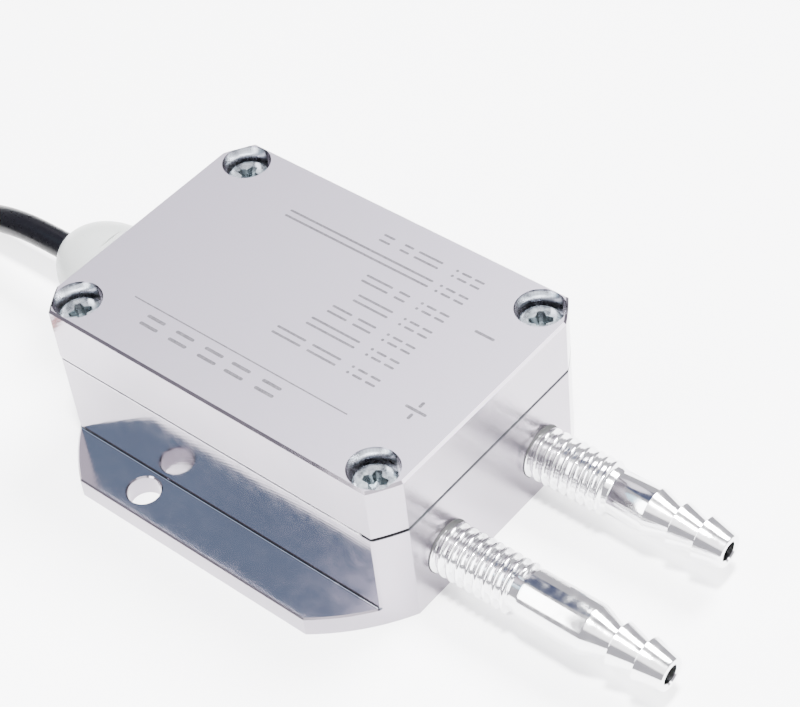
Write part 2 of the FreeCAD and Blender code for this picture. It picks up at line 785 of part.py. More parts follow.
def make_trimmers():
    """The zero and span trimmers, one each side of the terminal block."""
    x = f"({TERMINAL_FACE} + trimmer_length / 2)"
    for label, side in (("zero_trimmer", "-"), ("span_trimmer", "")):
        body = new_body(label, x, f"{side}{TRIMMER_Y}", BOARD_TOP)
        block = new_sketch(body)
        rectangle(
            block, "-trimmer_length / 2", "-trimmer_width / 2", "trimmer_length / 2", "trimmer_width / 2"
        )
        pad(body, block, "trimmer_height")
    top = f"{BOARD_TOP} + trimmer_height + trimmer_screw_height"
    screw_x = f"{x} + trimmer_length / 2 - trimmer_screw_inset"
    screws = new_body("trimmer_screws", screw_x, f"-{TRIMMER_Y}", top)
    make_slotted_pin(screws, "trimmer_screw_diameter", "trimmer_screw_height", f"2 * {TRIMMER_Y}")


def make_chip():
    """The signal converter: a small package with four flat legs on each side."""
    body = new_body("converter_chip", f"{BOARD_BACK} + chip_inset", "chip_side", BOARD_TOP)
    legs = new_sketch(body)
    reach = "(chip_width / 2 + chip_leg_reach)"
    for step in (-1.5, -0.5, 0.5, 1.5):
        middle = f"{step} * chip_leg_pitch"
        left, right = f"{middle} - chip_leg_width / 2", f"{middle} + chip_leg_width / 2"
        rectangle(legs, left, f"-{reach}", right, reach)
    pad(body, legs, "chip_leg_thickness")
    package = new_sketch(body, offset="0")
    rectangle(package, "-chip_length / 2", "-chip_width / 2", "chip_length / 2", "chip_width / 2")
    pad(body, package, "chip_height")


def make_capacitor():
    """The supply filter capacitor on its square foot."""
    along = f"{BOARD_BACK} + capacitor_inset"
    body = new_body("filter_capacitor", along, "-capacitor_side", BOARD_TOP)
    foot = new_sketch(body)
    half = "capacitor_foot / 2"
    rectangle(foot, f"-{half}", f"-{half}", half, half)
    pad(body, foot, "capacitor_foot_height")
    can = new_sketch(body, offset="capacitor_foot_height")
    circle(can, "capacitor_diameter")
    pad(body, can, "capacitor_height - capacitor_foot_height")


def make_diode():
    """The diode that guards against a reversed supply."""
    body = new_body("protection_diode", f"{BOARD_BACK} + diode_inset", z=BOARD_TOP)
    block = new_sketch(body)
    rectangle(block, "-diode_length / 2", "-diode_width / 2", "diode_length / 2", "diode_width / 2")
    pad(body, block, "diode_height")


def hexagon(sketch, flats):
    """A hexagon with two flats level, about the sketch's origin."""
    half = f"{flats} / 2"
    point, side = f"{flats} / 2 * 1.1547005", f"{flats} / 4 * 1.1547005"
    upper = [(point, "0"), (side, half), (f"-{side}", half)]
    lower = [(f"-{point}", "0"), (f"-{side}", f"-{half}"), (side, f"-{half}")]
    outline(sketch, upper + lower)


def make_gland():
    """The cable gland: washer, body, rubber seal and domed nut, all round the lead's axis."""
    washer = new_body("gland_washer", "-housing_length / 2", z=GLAND_HEIGHT)
    ring = new_sketch(washer, "YZ_Plane", "-gland_washer_thickness")
    circle(ring, "gland_washer_diameter")
    circle(ring, "gland_thread_diameter")
    pad(washer, ring, "gland_washer_thickness")

    body = new_body("gland_body", "-housing_length / 2 - gland_washer_thickness", z=GLAND_HEIGHT)
    thread = new_sketch(body, "YZ_Plane", "0")
    circle(thread, "gland_thread_diameter")
    pad(body, thread, "gland_washer_thickness + gland_thread_length")
    collar = new_sketch(body, "YZ_Plane", "-gland_collar")
    hexagon(collar, "gland_flats")
    pad(body, collar, "gland_collar")
    spigot = new_sketch(body, "YZ_Plane", "-(gland_collar + gland_spigot_length)")
    circle(spigot, "gland_spigot_diameter")
    pad(body, spigot, "gland_spigot_length")
    bore = new_sketch(body, "YZ_Plane", "gland_washer_thickness + gland_thread_length")
    circle(bore, "gland_bore")
    pocket(body, bore, "gland_washer_thickness + gland_thread_length + gland_collar + gland_spigot_length")
    seat = new_sketch(body, "YZ_Plane", "-(gland_collar + gland_spigot_length)")
    circle(seat, "gland_seal_diameter")
    pocket(body, seat, "gland_seal_length - gland_seal_length / 4", towards_normal=True)

    spigot_end = f"(-housing_length / 2 - gland_washer_thickness - gland_collar - gland_spigot_length)"
    seal = new_body("gland_seal", f"{spigot_end} - gland_seal_length / 4", z=GLAND_HEIGHT)
    sleeve = new_sketch(seal, "YZ_Plane")
    circle(sleeve, "gland_seal_diameter")
    circle(sleeve, "lead_diameter")
    pad(seal, sleeve, "gland_seal_length")
    make_dome()


def make_dome():
    """The domed nut: a skirt with six grip flats that runs into a half-ellipsoid nose."""
    skirt_face = "-housing_length / 2 - gland_washer_thickness - gland_collar"
    body = new_body("gland_dome_nut", skirt_face, z=GLAND_HEIGHT)
    profile = new_sketch(body, "XZ_Plane")
    radius = "dome_diameter / 2"
    hole = "(lead_diameter / 2 + dome_hole_clearance)"
    spigot_end = "-gland_spigot_length"
    seal_end = "-(gland_spigot_length + gland_seal_length / 4)"

    def on_nose(share):
        """A point of the half ellipse, at a share of the turn from its side to its hole."""
        turn = f"({share} * acos({hole} / ({radius})))"
        return f"-(dome_skirt + dome_length * sin({turn}))", f"{radius} * cos({turn})"

    corners = [
        ("0", "gland_spigot_diameter / 2"),
        ("0", radius),
        on_nose("0"),
        on_nose("0.36"),
        on_nose("0.7"),
        on_nose("1"),
        (seal_end, hole),
        (seal_end, "gland_seal_diameter / 2"),
        (spigot_end, "gland_seal_diameter / 2"),
        (spigot_end, "gland_spigot_diameter / 2"),
    ]
    outline(profile, corners, {2: on_nose("0.18"), 3: on_nose("0.53"), 4: on_nose("0.85")})
    revolve(body, profile, "H_Axis")
    flats = new_sketch(body, "YZ_Plane", "-dome_skirt")
    circle(flats, "2 * dome_diameter")
    hexagon(flats, "(dome_diameter - 2 * dome_flat_depth)")
    pocket(body, flats, "dome_skirt", towards_normal=True)


def make_inner_lead():
    """The lead inside the gland, and its two cores on their way to the terminals."""
    body = new_body("lead_inner", GLAND_MOUTH, z=GLAND_HEIGHT)
    jacket = new_sketch(body, "YZ_Plane")
    circle(jacket, "lead_diameter")
    pad(body, jacket, f"{JACKET_END} - {GLAND_MOUTH}")
    start = value(JACKET_END)
    clamp = value(f"{TERMINAL_FACE} + core_strip")
    level = value(GLAND_HEIGHT)
    entry = value(f"{BOARD_TOP} + terminal_entry_height")
    for label, sign in (("inner_core_red", 1), ("inner_core_black", -1)):
        near = sign * value("core_pitch / 2")
        far = sign * value("terminal_pitch / 2")
        reach = clamp - start
        points = [
            (start, near, level),
            (start + 0.25 * reach, near, level),
            (start + 0.62 * reach, far, entry),
            (clamp, far, entry),
        ]
        new_feature(label, swept(rounded_wire(points), value("core_diameter")))


def make_coil():
    """The lead's coil with the two short straight ends that leave it along a tangent, and its ties."""
    low, high = "(coil_radius - coil_width / 2)", "(coil_radius + coil_width / 2)"
    stub_y = f"({high} - lead_diameter / 2 - coil_stub_inset)"
    end_x, route_y, route_z = LEAD_ROUTE[-1]
    lead_radius = "lead_diameter / 2"
    centre = (
        f"{end_x} - coil_stub_length",
        f"{route_y} - {stub_y}",
        f"{route_z} - {lead_radius} - coil_stub_inset",
    )
    coil = new_body("lead_coil", *centre)
    section = new_sketch(coil, "XZ_Plane")
    rectangle(section, low, "0", high, "coil_height")
    revolve(coil, section, "V_Axis")
    stubs = new_sketch(coil, "YZ_Plane")
    circle(stubs, "lead_diameter", stub_y, f"{lead_radius} + coil_stub_inset")
    circle(stubs, "lead_diameter", f"-{stub_y}", f"coil_height - {lead_radius} - coil_stub_inset")
    pad(coil, stubs, "coil_stub_length")

    ties = new_body("coil_ties", *centre)
    band = new_sketch(ties, "XZ_Plane")
    rectangle(
        band,
        f"{low} - tie_thickness",
        "-tie_thickness",
        f"{high} + tie_thickness",
        "coil_height + tie_thickness",
    )
    rectangle(band, low, "0", high, "coil_height")
    turned = revolve(ties, band, "V_Axis", "tie_width / coil_radius * 180 / pi")
    opposite = ties.newObject("PartDesign::PolarPattern", "coil_ties_pattern")
    opposite.Originals = [turned]
    opposite.Axis = (origin_feature(ties, "Z_Axis"), [""])
    opposite.Angle = 360
    opposite.Occurrences = 2
    ties.Tip = opposite
    document.recompute()


def make_outer_lead():
    """The free lead: its run to the coil, and its free end with the two stripped cores."""
    diameter = value("lead_diameter")
    mouth = (value(GLAND_MOUTH), 0, value(GLAND_HEIGHT))
    for label, route in (("lead_run", [mouth, *LEAD_ROUTE]), ("lead_end", END_ROUTE)):
        new_feature(label, swept(rounded_wire(route, label), diameter))
    core = value("core_diameter")
    before, end = (FreeCAD.Vector(*point) for point in END_ROUTE[-2:])
    along = (end - before).normalize()
    across = FreeCAD.Vector(-along.y, along.x, 0).normalize()
    tips = []
    for label, (side, straight, points) in END_CORES.items():
        start = end + across * side * value("core_pitch / 2")
        route = [start, start + along * straight, *(FreeCAD.Vector(*point) for point in points)]
        new_feature(label, swept(rounded_wire(route, label), core))
        direction = route[-1] - route[-2]
        strands = Part.makeCylinder(
            value("strand_diameter / 2"), value("strand_length"), route[-1], direction
        )
        tips.append(strands)
    new_feature("end_strands", Part.makeCompound(tips))


make_base()
make_cover()
make_gasket()
make_cover_screws()
make_fitting("high_port_fitting", "-", "high")
make_fitting("low_port_fitting", "", "low")
make_hose("high_port_hose", "-")
make_hose("low_port_hose", "")
make_sensor()
make_board()
make_board_fixings()
make_terminal()
make_trimmers()
make_chip()
make_capacitor()
make_diode()
make_gland()
make_inner_lead()
make_coil()
make_outer_lead()
document.recompute()

for item in document.Objects:
    if "Invalid" in item.State or "Error" in item.State:
        raise RuntimeError(f"{item.Name} failed: {item.State}")
for part in parts:
    if part.Shape.isNull() or not part.Shape.isValid() or not part.Shape.Solids:
        raise RuntimeError(f"{part.Label} has no valid solid")
os.makedirs("parts", exist_ok=True)
for part in parts:
    part.Shape.exportStep(os.path.join("parts", f"{part.Label}.step"))
    print(part.Label, len(part.Shape.Solids), round(part.Shape.Volume, 1))
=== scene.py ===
# %% [markdown]
# # Dressing a differential pressure transmitter
# The solid model of this small instrument already exists: a milled aluminium housing with a
# screwed cover, two barbed hose fittings, a white cable gland and a black lead. This lesson loads
# it, sets up the camera, lays the lead, turns the threaded fittings and gives each surface its
# finish. Lengths are in metres, so a helper value MM keeps the sizes readable.

# %% Load the solid model
import math

import bmesh
import bpy
from mathutils import Matrix, Vector


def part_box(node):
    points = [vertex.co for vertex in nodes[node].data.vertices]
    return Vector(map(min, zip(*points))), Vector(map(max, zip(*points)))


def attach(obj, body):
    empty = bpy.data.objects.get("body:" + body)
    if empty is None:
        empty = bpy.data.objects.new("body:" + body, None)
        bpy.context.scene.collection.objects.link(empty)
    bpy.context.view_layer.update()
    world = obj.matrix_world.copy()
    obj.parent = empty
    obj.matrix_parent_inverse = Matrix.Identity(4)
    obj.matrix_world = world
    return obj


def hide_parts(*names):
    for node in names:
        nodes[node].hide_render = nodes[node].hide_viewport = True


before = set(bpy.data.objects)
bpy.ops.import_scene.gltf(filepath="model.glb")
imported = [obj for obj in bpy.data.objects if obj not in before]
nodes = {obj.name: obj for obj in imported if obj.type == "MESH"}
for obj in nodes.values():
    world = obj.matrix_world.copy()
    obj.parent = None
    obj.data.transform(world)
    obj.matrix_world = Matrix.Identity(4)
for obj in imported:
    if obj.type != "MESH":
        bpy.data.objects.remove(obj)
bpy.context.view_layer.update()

MM = 0.001
print("solid pieces:", len(nodes))

# %% [markdown]
# ## The camera
# A product picture is taken from a corner, looking down at about 45 degrees with a long lens, so
# that parallel edges stay nearly parallel. The camera's rotation could be set with angles, but
# three unit vectors are clearer: which way is right in the picture, which way is up, and which way
# points back towards the lens. They are the columns of the rotation.

# %% Place the camera
CAMERA_PLACE = (0.199476, -0.181892, 0.291599)
camera_data = bpy.data.cameras.new("camera")
camera_data.lens = 97.92
camera_data.sensor_width = 36
camera_data.clip_start = 0.01
camera = bpy.data.objects.new("camera", camera_data)
right = (0.7689, 0.6336, -0.0850)
up = (-0.4080, 0.5888, 0.6978)
back = (0.4922, -0.5019, 0.7113)
turn = Matrix((right, up, back)).transposed().to_4x4()
camera.matrix_world = Matrix.Translation(CAMERA_PLACE) @ turn
bpy.context.scene.collection.objects.link(camera)
bpy.context.scene.camera = camera
print("camera is", round(camera.location.length, 3), "m from the housing")

# %% [markdown]
# ## The lead's path
# A lead is one fixed length of something springy, so it is one curve. A NURBS spline of order 3
# runs smoothly near its control points without touching them, which is how a cable lies. The
# first points leave the gland's mouth straight and then droop to the table. The rest of the metre
# of cable is put away as a neat coil: two layers, wound inwards below and outwards above.

# %% Points from the gland to the coil
LEAD_DIAMETER = 5.4 * MM
lead_mouth = (-64.2, 0.0, 13.0)
lead_points = [
    lead_mouth,
    (-72.5, 0.0, 13.0),
    (-81.0, 0.1, 11.5),
    (-89.0, 0.5, 8.4),
    (-96.0, 1.1, 5.2),
    (-103.5, 1.5, 3.6),
    (-111.0, 1.5, 3.6),
    (-121.0, 1.5, 3.5),
]
print("points before the coil:", len(lead_points))

# %% [markdown]
# The coil's points come from a loop. Each turn has eighteen of them, because a NURBS curve cuts
# inside its corners and few points would make the turns small and flat. The value `bulge` puts the
# points a little outside the turn that the cable should follow, to make up for that. The radius
# shrinks by one spacing a turn, stays while the cable climbs to the upper layer, and grows again.

# %% Points of the coil
COIL_CENTRE = (-132.0, -33.3)
POINTS_PER_TURN = 18
OUTER_RADIUS, LAYER_LOW, LAYER_HIGH = 34.8, 3.4, 8.3
SPACING = 5.25
TURNS_IN, TURNS_CLIMBING, TURNS_IN_ALL = 2, 0.25, 4.5
bulge = 1 / (0.75 + 0.25 * math.cos(2 * math.pi / POINTS_PER_TURN))


def coil_radius_and_height(turn):
    """Where the cable's centre is after so many turns: two turns in, a climb, and two turns out."""
    inner = OUTER_RADIUS - TURNS_IN * SPACING
    climb_end = TURNS_IN + TURNS_CLIMBING
    if turn < TURNS_IN:
        return OUTER_RADIUS - SPACING * turn, LAYER_LOW
    if turn < climb_end:
        return inner, LAYER_LOW + (LAYER_HIGH - LAYER_LOW) * (turn - TURNS_IN) / TURNS_CLIMBING
    return min(inner + SPACING * (turn - climb_end), OUTER_RADIUS), LAYER_HIGH


for step in range(1, int(TURNS_IN_ALL * POINTS_PER_TURN)):
    turn = step / POINTS_PER_TURN
    radius, height = coil_radius_and_height(turn)
    angle = math.pi / 2 + 2 * math.pi * turn
    lead_points.append((
        COIL_CENTRE[0] + bulge * radius * math.cos(angle),
        COIL_CENTRE[1] + bulge * radius * math.sin(angle),
        height,
    ))
print("points with the coil:", len(lead_points))

# %% [markdown]
# Where the coil ends the cable leaves it along a tangent and comes down to the table. The last
# point is where the jacket is stripped back to its two cores. The thickness is set as each point's
# radius, with a bevel depth of one, because Blender adds the points' radius to a curve's bounding
# box, and its usual radius of one would make the instrument seem a metre larger on every side.

# %% Points of the free end, and the curve itself
lead_points += [
    (-121.0, -68.1, 8.1),
    (-111.0, -68.1, 8.0),
    (-104.0, -68.1, 8.0),
    (-96.0, -67.5, 6.1),
    (-88.0, -65.9, 3.6),
    (-80.5, -63.2, 2.8),
    (-73.5, -59.4, 2.8),
]
lead_curve = bpy.data.curves.new("lead", "CURVE")
lead_curve.dimensions = "3D"
lead_spline = lead_curve.splines.new("NURBS")
lead_spline.points.add(len(lead_points) - 1)
for point, spot in zip(lead_spline.points, lead_points):
    point.co = (*(value * MM for value in spot), 1)
    point.radius = LEAD_DIAMETER / 2
lead_spline.order_u = 3
lead_spline.use_endpoint_u = True
lead_spline.resolution_u = 6
lead_curve.bevel_depth = 1
lead_curve.bevel_resolution = 7
lead_curve.use_fill_caps = True
lead = bpy.data.objects.new("lead", lead_curve)
bpy.context.scene.collection.objects.link(lead)
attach(lead, "root")
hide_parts("lead_run", "lead_coil", "lead_end")
print("lead control points:", len(lead_points), "length", round(lead_spline.calc_length(), 3), "m")

# %% [markdown]
# ## Table and light
# The instrument stands on a plain pale table. A sheet of metal is only as interesting as what it
# reflects, so the light is made with that in mind. The table comes first: a large grid with a matt
# white paint.

# %% Make the table
TABLE_REACH = 6.0
floor_mesh = bmesh.new()
bmesh.ops.create_grid(floor_mesh, x_segments=1, y_segments=1, size=TABLE_REACH)
floor_data = bpy.data.meshes.new("table")
floor_mesh.to_mesh(floor_data)
floor_mesh.free()
table = bpy.data.objects.new("table", floor_data)
bpy.context.scene.collection.objects.link(table)
table_paint = bpy.data.materials.new("pale_table")
table_paint.use_nodes = True
table_shader = table_paint.node_tree.nodes["Principled BSDF"]
table_shader.inputs["Base Color"].default_value = (0.88, 0.88, 0.885, 1)
table_shader.inputs["Roughness"].default_value = 0.7
table_shader.inputs["Specular IOR Level"].default_value = 0.2
floor_data.materials.append(table_paint)
print("table reaches", TABLE_REACH, "m each way")

# %% [markdown]
# The room is a soft lavender grey, and patches in it stand for the cards and softboxes that a
# studio puts round bright metal. A dark card high up behind gives the round shanks something to
# reflect, or they would look like chalk, and a light one beside it keeps the cover even. A bluish
# one on the left, with a small brighter part, is what the flange and the wall above it reflect
# between them. A small bright one makes the cover's bevel at the hose end a white line, and a wide
# one beside the camera fills the threads. Each line of the table below gives the direction of a
# patch's middle, the cosines of the angles where it starts and where it is full, and its colour.
# For each patch a dot product tells how near a direction is to its middle, a ramp turns that into
# a share, and a mix lays its colour on.

# %% The sky and its patches
world = bpy.data.worlds.new("studio_sky")
bpy.context.scene.world = world
world.use_nodes = True
sky = world.node_tree
look = sky.nodes.new("ShaderNodeTexCoord")
plain = sky.nodes.new("ShaderNodeRGB")
plain.outputs[0].default_value = (0.66, 0.645, 0.71, 1)
colour_so_far = plain.outputs[0]
SKY_PATCHES = [
    ((-0.37, 0.35, 0.86), 0.900, 0.940, (0.10, 0.12, 0.22, 1)),  # dark card
    ((-0.60, 0.46, 0.66), 0.970, 0.985, (1.90, 1.80, 1.98, 1)),  # light card beside it
    ((-0.52, -0.40, 0.75), 0.965, 0.983, (1.26, 1.84, 2.28, 1)),  # bluish card
    ((-0.46, -0.42, 0.80), 0.9960, 0.9992, (1.38, 1.98, 2.46, 1)),  # its brighter part
    ((0.73, 0.51, 0.45), 0.978, 0.988, (12.0, 12.0, 12.2, 1)),  # small bright softbox
    ((0.42, -0.35, 0.84), 0.880, 0.920, (3.4, 3.35, 3.4, 1)),  # wide softbox by the camera
]
for direction, start, full, patch_colour in SKY_PATCHES:
    towards = sky.nodes.new("ShaderNodeVectorMath")
    towards.operation = "DOT_PRODUCT"
    towards.inputs[1].default_value = Vector(direction).normalized()
    share = sky.nodes.new("ShaderNodeMapRange")
    share.interpolation_type = "SMOOTHSTEP"
    share.inputs["From Min"].default_value = start
    share.inputs["From Max"].default_value = full
    lay = sky.nodes.new("ShaderNodeMix")
    lay.data_type = "RGBA"
    lay.inputs["B"].default_value = patch_colour
    sky.links.new(look.outputs["Generated"], towards.inputs[0])
    sky.links.new(towards.outputs["Value"], share.inputs["Value"])
    sky.links.new(share.outputs["Result"], lay.inputs["Factor"])
    sky.links.new(colour_so_far, lay.inputs["A"])
    colour_so_far = lay.outputs["Result"]
sky.links.new(colour_so_far, sky.nodes["Background"].inputs["Color"])
sky.nodes["Background"].inputs["Strength"].default_value = 1.0
print("patches in the sky:", len(SKY_PATCHES))

# %% [markdown]
# A firm lamp high over the camera's side draws the shadows of the fittings, and a broad one above
# and behind lays a soft shadow in front of the housing. The third is a small bright strip near the
# fittings: it hardly lights anything, but the polished shanks reflect it as their white streak.
# Each lamp's rotation is made of three unit vectors, as the camera's is.

# %% The lamps
def add_lamp(name, place, spot, along, size, power):
    """A rectangular lamp at a place that faces a spot, with its long side along a direction."""
    data = bpy.data.lights.new(name, "AREA")
    data.shape = "RECTANGLE"
    data.size, data.size_y = size
    data.energy = power
    lamp = bpy.data.objects.new(name, data)
    away = (Vector(place) - Vector(spot)).normalized()
    side = Vector(along).cross(away).normalized()
    turn = Matrix((side, away.cross(side), away)).transposed().to_4x4()
    lamp.matrix_world = Matrix.Translation(place) @ turn
    bpy.context.scene.collection.objects.link(lamp)


key_place = Vector((1.8, -1.5, 9.4)).normalized() * 1.6
overhead_place = Vector((0.2, 1.0, 1.5)).normalized() * 1.5
fittings_middle = (0.060, -0.013, 0.009)
add_lamp("key_lamp", key_place, (0, 0, 0), along=(0, 1, 0), size=(0.2, 0.2), power=122)
add_lamp("overhead_lamp", overhead_place, (0, 0, 0), along=(1, 0, 0), size=(0.6, 0.6), power=82)
add_lamp("streak_lamp", (-0.045, -0.195, 0.219), fittings_middle,
         along=(0, 0.758, 0.652), size=(0.11, 0.32), power=1.3)

# %% [markdown]
# ## A helper for finishes
# Each finish below is a Principled shader whose constants are set on the shader itself. What
# changes over the surface, such as grain or smudges, comes from noise read in object coordinates,
# which stay put on the piece. The helper makes the material and hands back a small set of tools,
# so that each finish can be written in a few lines. Some finishes change near the cover's screws,
# so the distances of the screws from the cover's middle, in millimetres, come first.

# %% The finish helper
SCREW_ALONG, SCREW_ACROSS = 33.75, 22.0


class Finish:
    """A material under construction: its shader and the coordinates that its patterns read."""

    def __init__(self, name, colour, metallic=0.0, roughness=0.5, **sockets):
        self.material = bpy.data.materials.new(name)
        self.material.use_nodes = True
        self.tree = self.material.node_tree
        self.shader = self.tree.nodes["Principled BSDF"]
        self.shader.inputs["Base Color"].default_value = (*colour, 1)
        self.shader.inputs["Metallic"].default_value = metallic
        self.shader.inputs["Roughness"].default_value = roughness
        for socket, value in sockets.items():
            self.shader.inputs[socket.replace("_", " ")].default_value = value
        self.place = self.tree.nodes.new("ShaderNodeTexCoord").outputs["Object"]
        self.normal = None

    def node(self, kind, **settings):
        """A new shader node of a kind, with its settings."""
        made = self.tree.nodes.new(f"ShaderNode{kind}")
        for name, value in settings.items():
            setattr(made, name, value)
        return made

    def link(self, output, socket):
        """A link from an output to a socket."""
        self.tree.links.new(output, socket)

    def mapped(self, scale=(1, 1, 1), shift=(0, 0, 0)):
        """Object coordinates, scaled and moved."""
        mapping = self.node("Mapping")
        mapping.inputs["Scale"].default_value = scale
        mapping.inputs["Location"].default_value = shift
        self.link(self.place, mapping.inputs["Vector"])
        return mapping.outputs["Vector"]

    def noise(self, size, detail=3.0, scale=(1, 1, 1)):
        """Noise whose features are about as large as size, in metres."""
        noise = self.node("TexNoise")
        noise.inputs["Scale"].default_value = 1 / size
        noise.inputs["Detail"].default_value = detail
        self.link(self.mapped(scale), noise.inputs["Vector"])
        return noise.outputs["Fac"]

    def spread(self, value, low, high, start=0.3, end=0.7):
        """Turns a value from start to end into one from low to high."""
        spread = self.node("MapRange")
        spread.inputs["From Min"].default_value = start
        spread.inputs["From Max"].default_value = end
        spread.inputs["To Min"].default_value = low
        spread.inputs["To Max"].default_value = high
        self.link(value, spread.inputs["Value"])
        return spread.outputs["Result"]

    def above(self, value, level, soft):
        """Zero up to a level in millimetres, and one from a soft step further on."""
        return self.spread(value, 0, 1, level * MM, (level + soft) * MM)

    def below(self, value, level, soft):
        """One up to a level in millimetres, and zero from a soft step further on."""
        return self.spread(value, 1, 0, level * MM, (level + soft) * MM)

    def bump(self, height, depth):
        """Adds a relief of a depth in metres on top of what is there."""
        bump = self.node("Bump")
        bump.inputs["Strength"].default_value = 1.0
        bump.inputs["Distance"].default_value = depth
        self.link(height, bump.inputs["Height"])
        if self.normal:
            self.link(self.normal, bump.inputs["Normal"])
        self.normal = bump.outputs["Normal"]
        self.link(self.normal, self.shader.inputs["Normal"])

    def tint(self, share, first, second):
        """Runs the base colour from one colour to another with a share from 0 to 1."""
        mix = self.node("Mix", data_type="RGBA")
        mix.inputs["A"].default_value = (*first, 1)
        mix.inputs["B"].default_value = (*second, 1)
        self.link(share, mix.inputs["Factor"])
        self.link(mix.outputs["Result"], self.shader.inputs["Base Color"])
        return mix.outputs["Result"]

    def calc(self, operation, first, second=None):
        """A Math node on one or two outputs."""
        made = self.node("Math", operation=operation)
        self.link(first, made.inputs[0])
        if second:
            self.link(second, made.inputs[1])
        return made.outputs["Value"]

    def blend(self, share, first, second):
        """Goes from one value to another with a share; the second may be a plain number."""
        mix = self.node("Mix", data_type="FLOAT")
        self.link(share, mix.inputs["Factor"])
        self.link(first, mix.inputs["A"])
        if isinstance(second, float):
            mix.inputs["B"].default_value = second
        else:
            self.link(second, mix.inputs["B"])
        return mix.outputs["Result"]

    def cover_over(self, share, colour, over):
        """Lays a plain colour over a changing one with a share."""
        mix = self.node("Mix", data_type="RGBA")
        self.link(share, mix.inputs["Factor"])
        self.link(colour, mix.inputs["A"])
        mix.inputs["B"].default_value = (*over, 1)
        self.link(mix.outputs["Result"], self.shader.inputs["Base Color"])
        return mix.outputs["Result"]

    def near_corners(self, reach):
        """One within a reach of an upright screw axis in one of the four corners, zero outside."""
        kinds = ("ABSOLUTE", "SUBTRACT", "MULTIPLY", "LENGTH")
        steps = [self.node("VectorMath", operation=kind) for kind in kinds]
        self.link(self.place, steps[0].inputs[0])
        steps[1].inputs[1].default_value = (SCREW_ALONG * MM, SCREW_ACROSS * MM, 0)
        steps[2].inputs[1].default_value = (1, 1, 0)
        for first, second in zip(steps, steps[1:]):
            self.link(first.outputs["Vector"], second.inputs[0])
        return self.below(steps[3].outputs["Value"], reach - 0.02, 0.04)

    def part_of_place(self, axis):
        """One of the object coordinates, X, Y or Z."""
        split = self.node("SeparateXYZ")
        self.link(self.place, split.inputs["Vector"])
        return split.outputs[axis]

    def rough(self, value):
        """Lets a changing value drive the roughness."""
        self.link(value, self.shader.inputs["Roughness"])


def dress(finish, *names):
    """Gives solid pieces a finish."""
    for name in names:
        slots = nodes[name].data.materials
        slots.clear()
        slots.append(finish.material)
    print(finish.material.name, "on", ", ".join(names) or "new pieces")


# %% [markdown]
# ## Milled aluminium
# The housing's walls and flanges are fly-cut: nearly a mirror, with very fine arcs where the cutter
# passed, and they blur what they reflect only a little. The arcs are rings of a wave texture whose
# centre is far outside the part, which is how large the cutter's circle is. The two ends were cut
# with another tool and are softer. A painted light runs along the cover's joint as a light band,
# the joint is painted dark at the hose end as painted shade in its gap, and painted shade darkens
# the narrow root between flange and wall. All of these are chosen by place and by the face's
# normal.

# %% The fly-cut walls of the housing
SEAM_BOTTOM, SEAM_TOP = 21.7, 22.5
GAP_SHADE_FROM = 33
WALL_FACE, FLANGE_TOP = 27.16, 5
# Colours of a painted light along the cover's joint, painted shade in the joint's gap and painted
# shade in the flange's root.
PAINTED_SEAM_LIGHT, PAINTED_GAP_SHADE, PAINTED_ROOT_SHADE = (0.88, 0.85, 0.89), (0.03, 0.03, 0.035), (0.06, 0.065, 0.08)


def fly_cut(name):
    """Nearly mirror-bright aluminium with the arcs of a fly cutter.

    It paints a light band along the cover's joint and painted shade in the joint at the hose end.
    It also keeps the face's direction, the roughness and the colour so far, to build on.
    """
    finish = Finish(name, (0.44, 0.43, 0.46), metallic=1.0, roughness=0.1)
    arcs = finish.node("TexWave", wave_type="RINGS", rings_direction="SPHERICAL")
    arcs.inputs["Scale"].default_value = 420
    arcs.inputs["Distortion"].default_value = 1.2
    arcs.inputs["Detail"].default_value = 2
    arcs.inputs["Detail Scale"].default_value = 3
    finish.link(finish.mapped(shift=(-0.03, 0.035, 0.05)), arcs.inputs["Vector"])
    finish.bump(arcs.outputs["Fac"], 1.4e-6)
    finish.bump(finish.noise(6 * MM, 2.0), 4e-6)
    finish.way = finish.node("SeparateXYZ")
    finish.link(finish.node("NewGeometry").outputs["True Normal"], finish.way.inputs["Vector"])
    end_share = finish.spread(finish.calc("ABSOLUTE", finish.way.outputs["X"]), 0, 1, 0.9, 0.95)
    bright = finish.spread(finish.noise(3 * MM, 5.0), 0.075, 0.15)
    finish.bright = finish.blend(end_share, bright, 0.24)
    finish.rough(finish.bright)
    clouds = finish.spread(finish.noise(14 * MM), 0, 1)
    patches = finish.tint(clouds, (0.322, 0.294, 0.333), (0.292, 0.269, 0.307))
    high, along = finish.part_of_place("Z"), finish.part_of_place("X")
    seam = finish.calc("MULTIPLY", finish.above(high, SEAM_BOTTOM, 0.05),
                       finish.below(high, SEAM_TOP, 0.05))
    # Painted light: a light band along the cover's joint.
    with_painted_seam_light = finish.cover_over(seam, patches, PAINTED_SEAM_LIGHT)
    # Painted shade: the joint is painted dark at the hose end.
    gap_shade_share = finish.calc("MULTIPLY", seam, finish.above(along, GAP_SHADE_FROM, 1))
    finish.mottle = finish.cover_over(gap_shade_share, with_painted_seam_light, PAINTED_GAP_SHADE)
    return finish


wall_finish = fly_cut("fly_cut_aluminium")
slope = wall_finish.calc("MULTIPLY", wall_finish.way.outputs["Y"], wall_finish.way.outputs["Z"])
leaning = wall_finish.spread(wall_finish.calc("ABSOLUTE", slope), 0, 1, 0.02, 0.12)
from_middle = wall_finish.calc("ABSOLUTE", wall_finish.part_of_place("Y"))
# Painted shade: the narrow root between flange and wall is darkened.
root_shade_share = wall_finish.calc("MULTIPLY", leaning, wall_finish.below(from_middle, WALL_FACE, 0.04))
low_down = wall_finish.below(wall_finish.part_of_place("Z"), FLANGE_TOP, 1)
root_shade_share = wall_finish.calc("MULTIPLY", root_shade_share, low_down)
wall_finish.cover_over(root_shade_share, wall_finish.mottle, PAINTED_ROOT_SHADE)
dress(wall_finish, "base_housing")
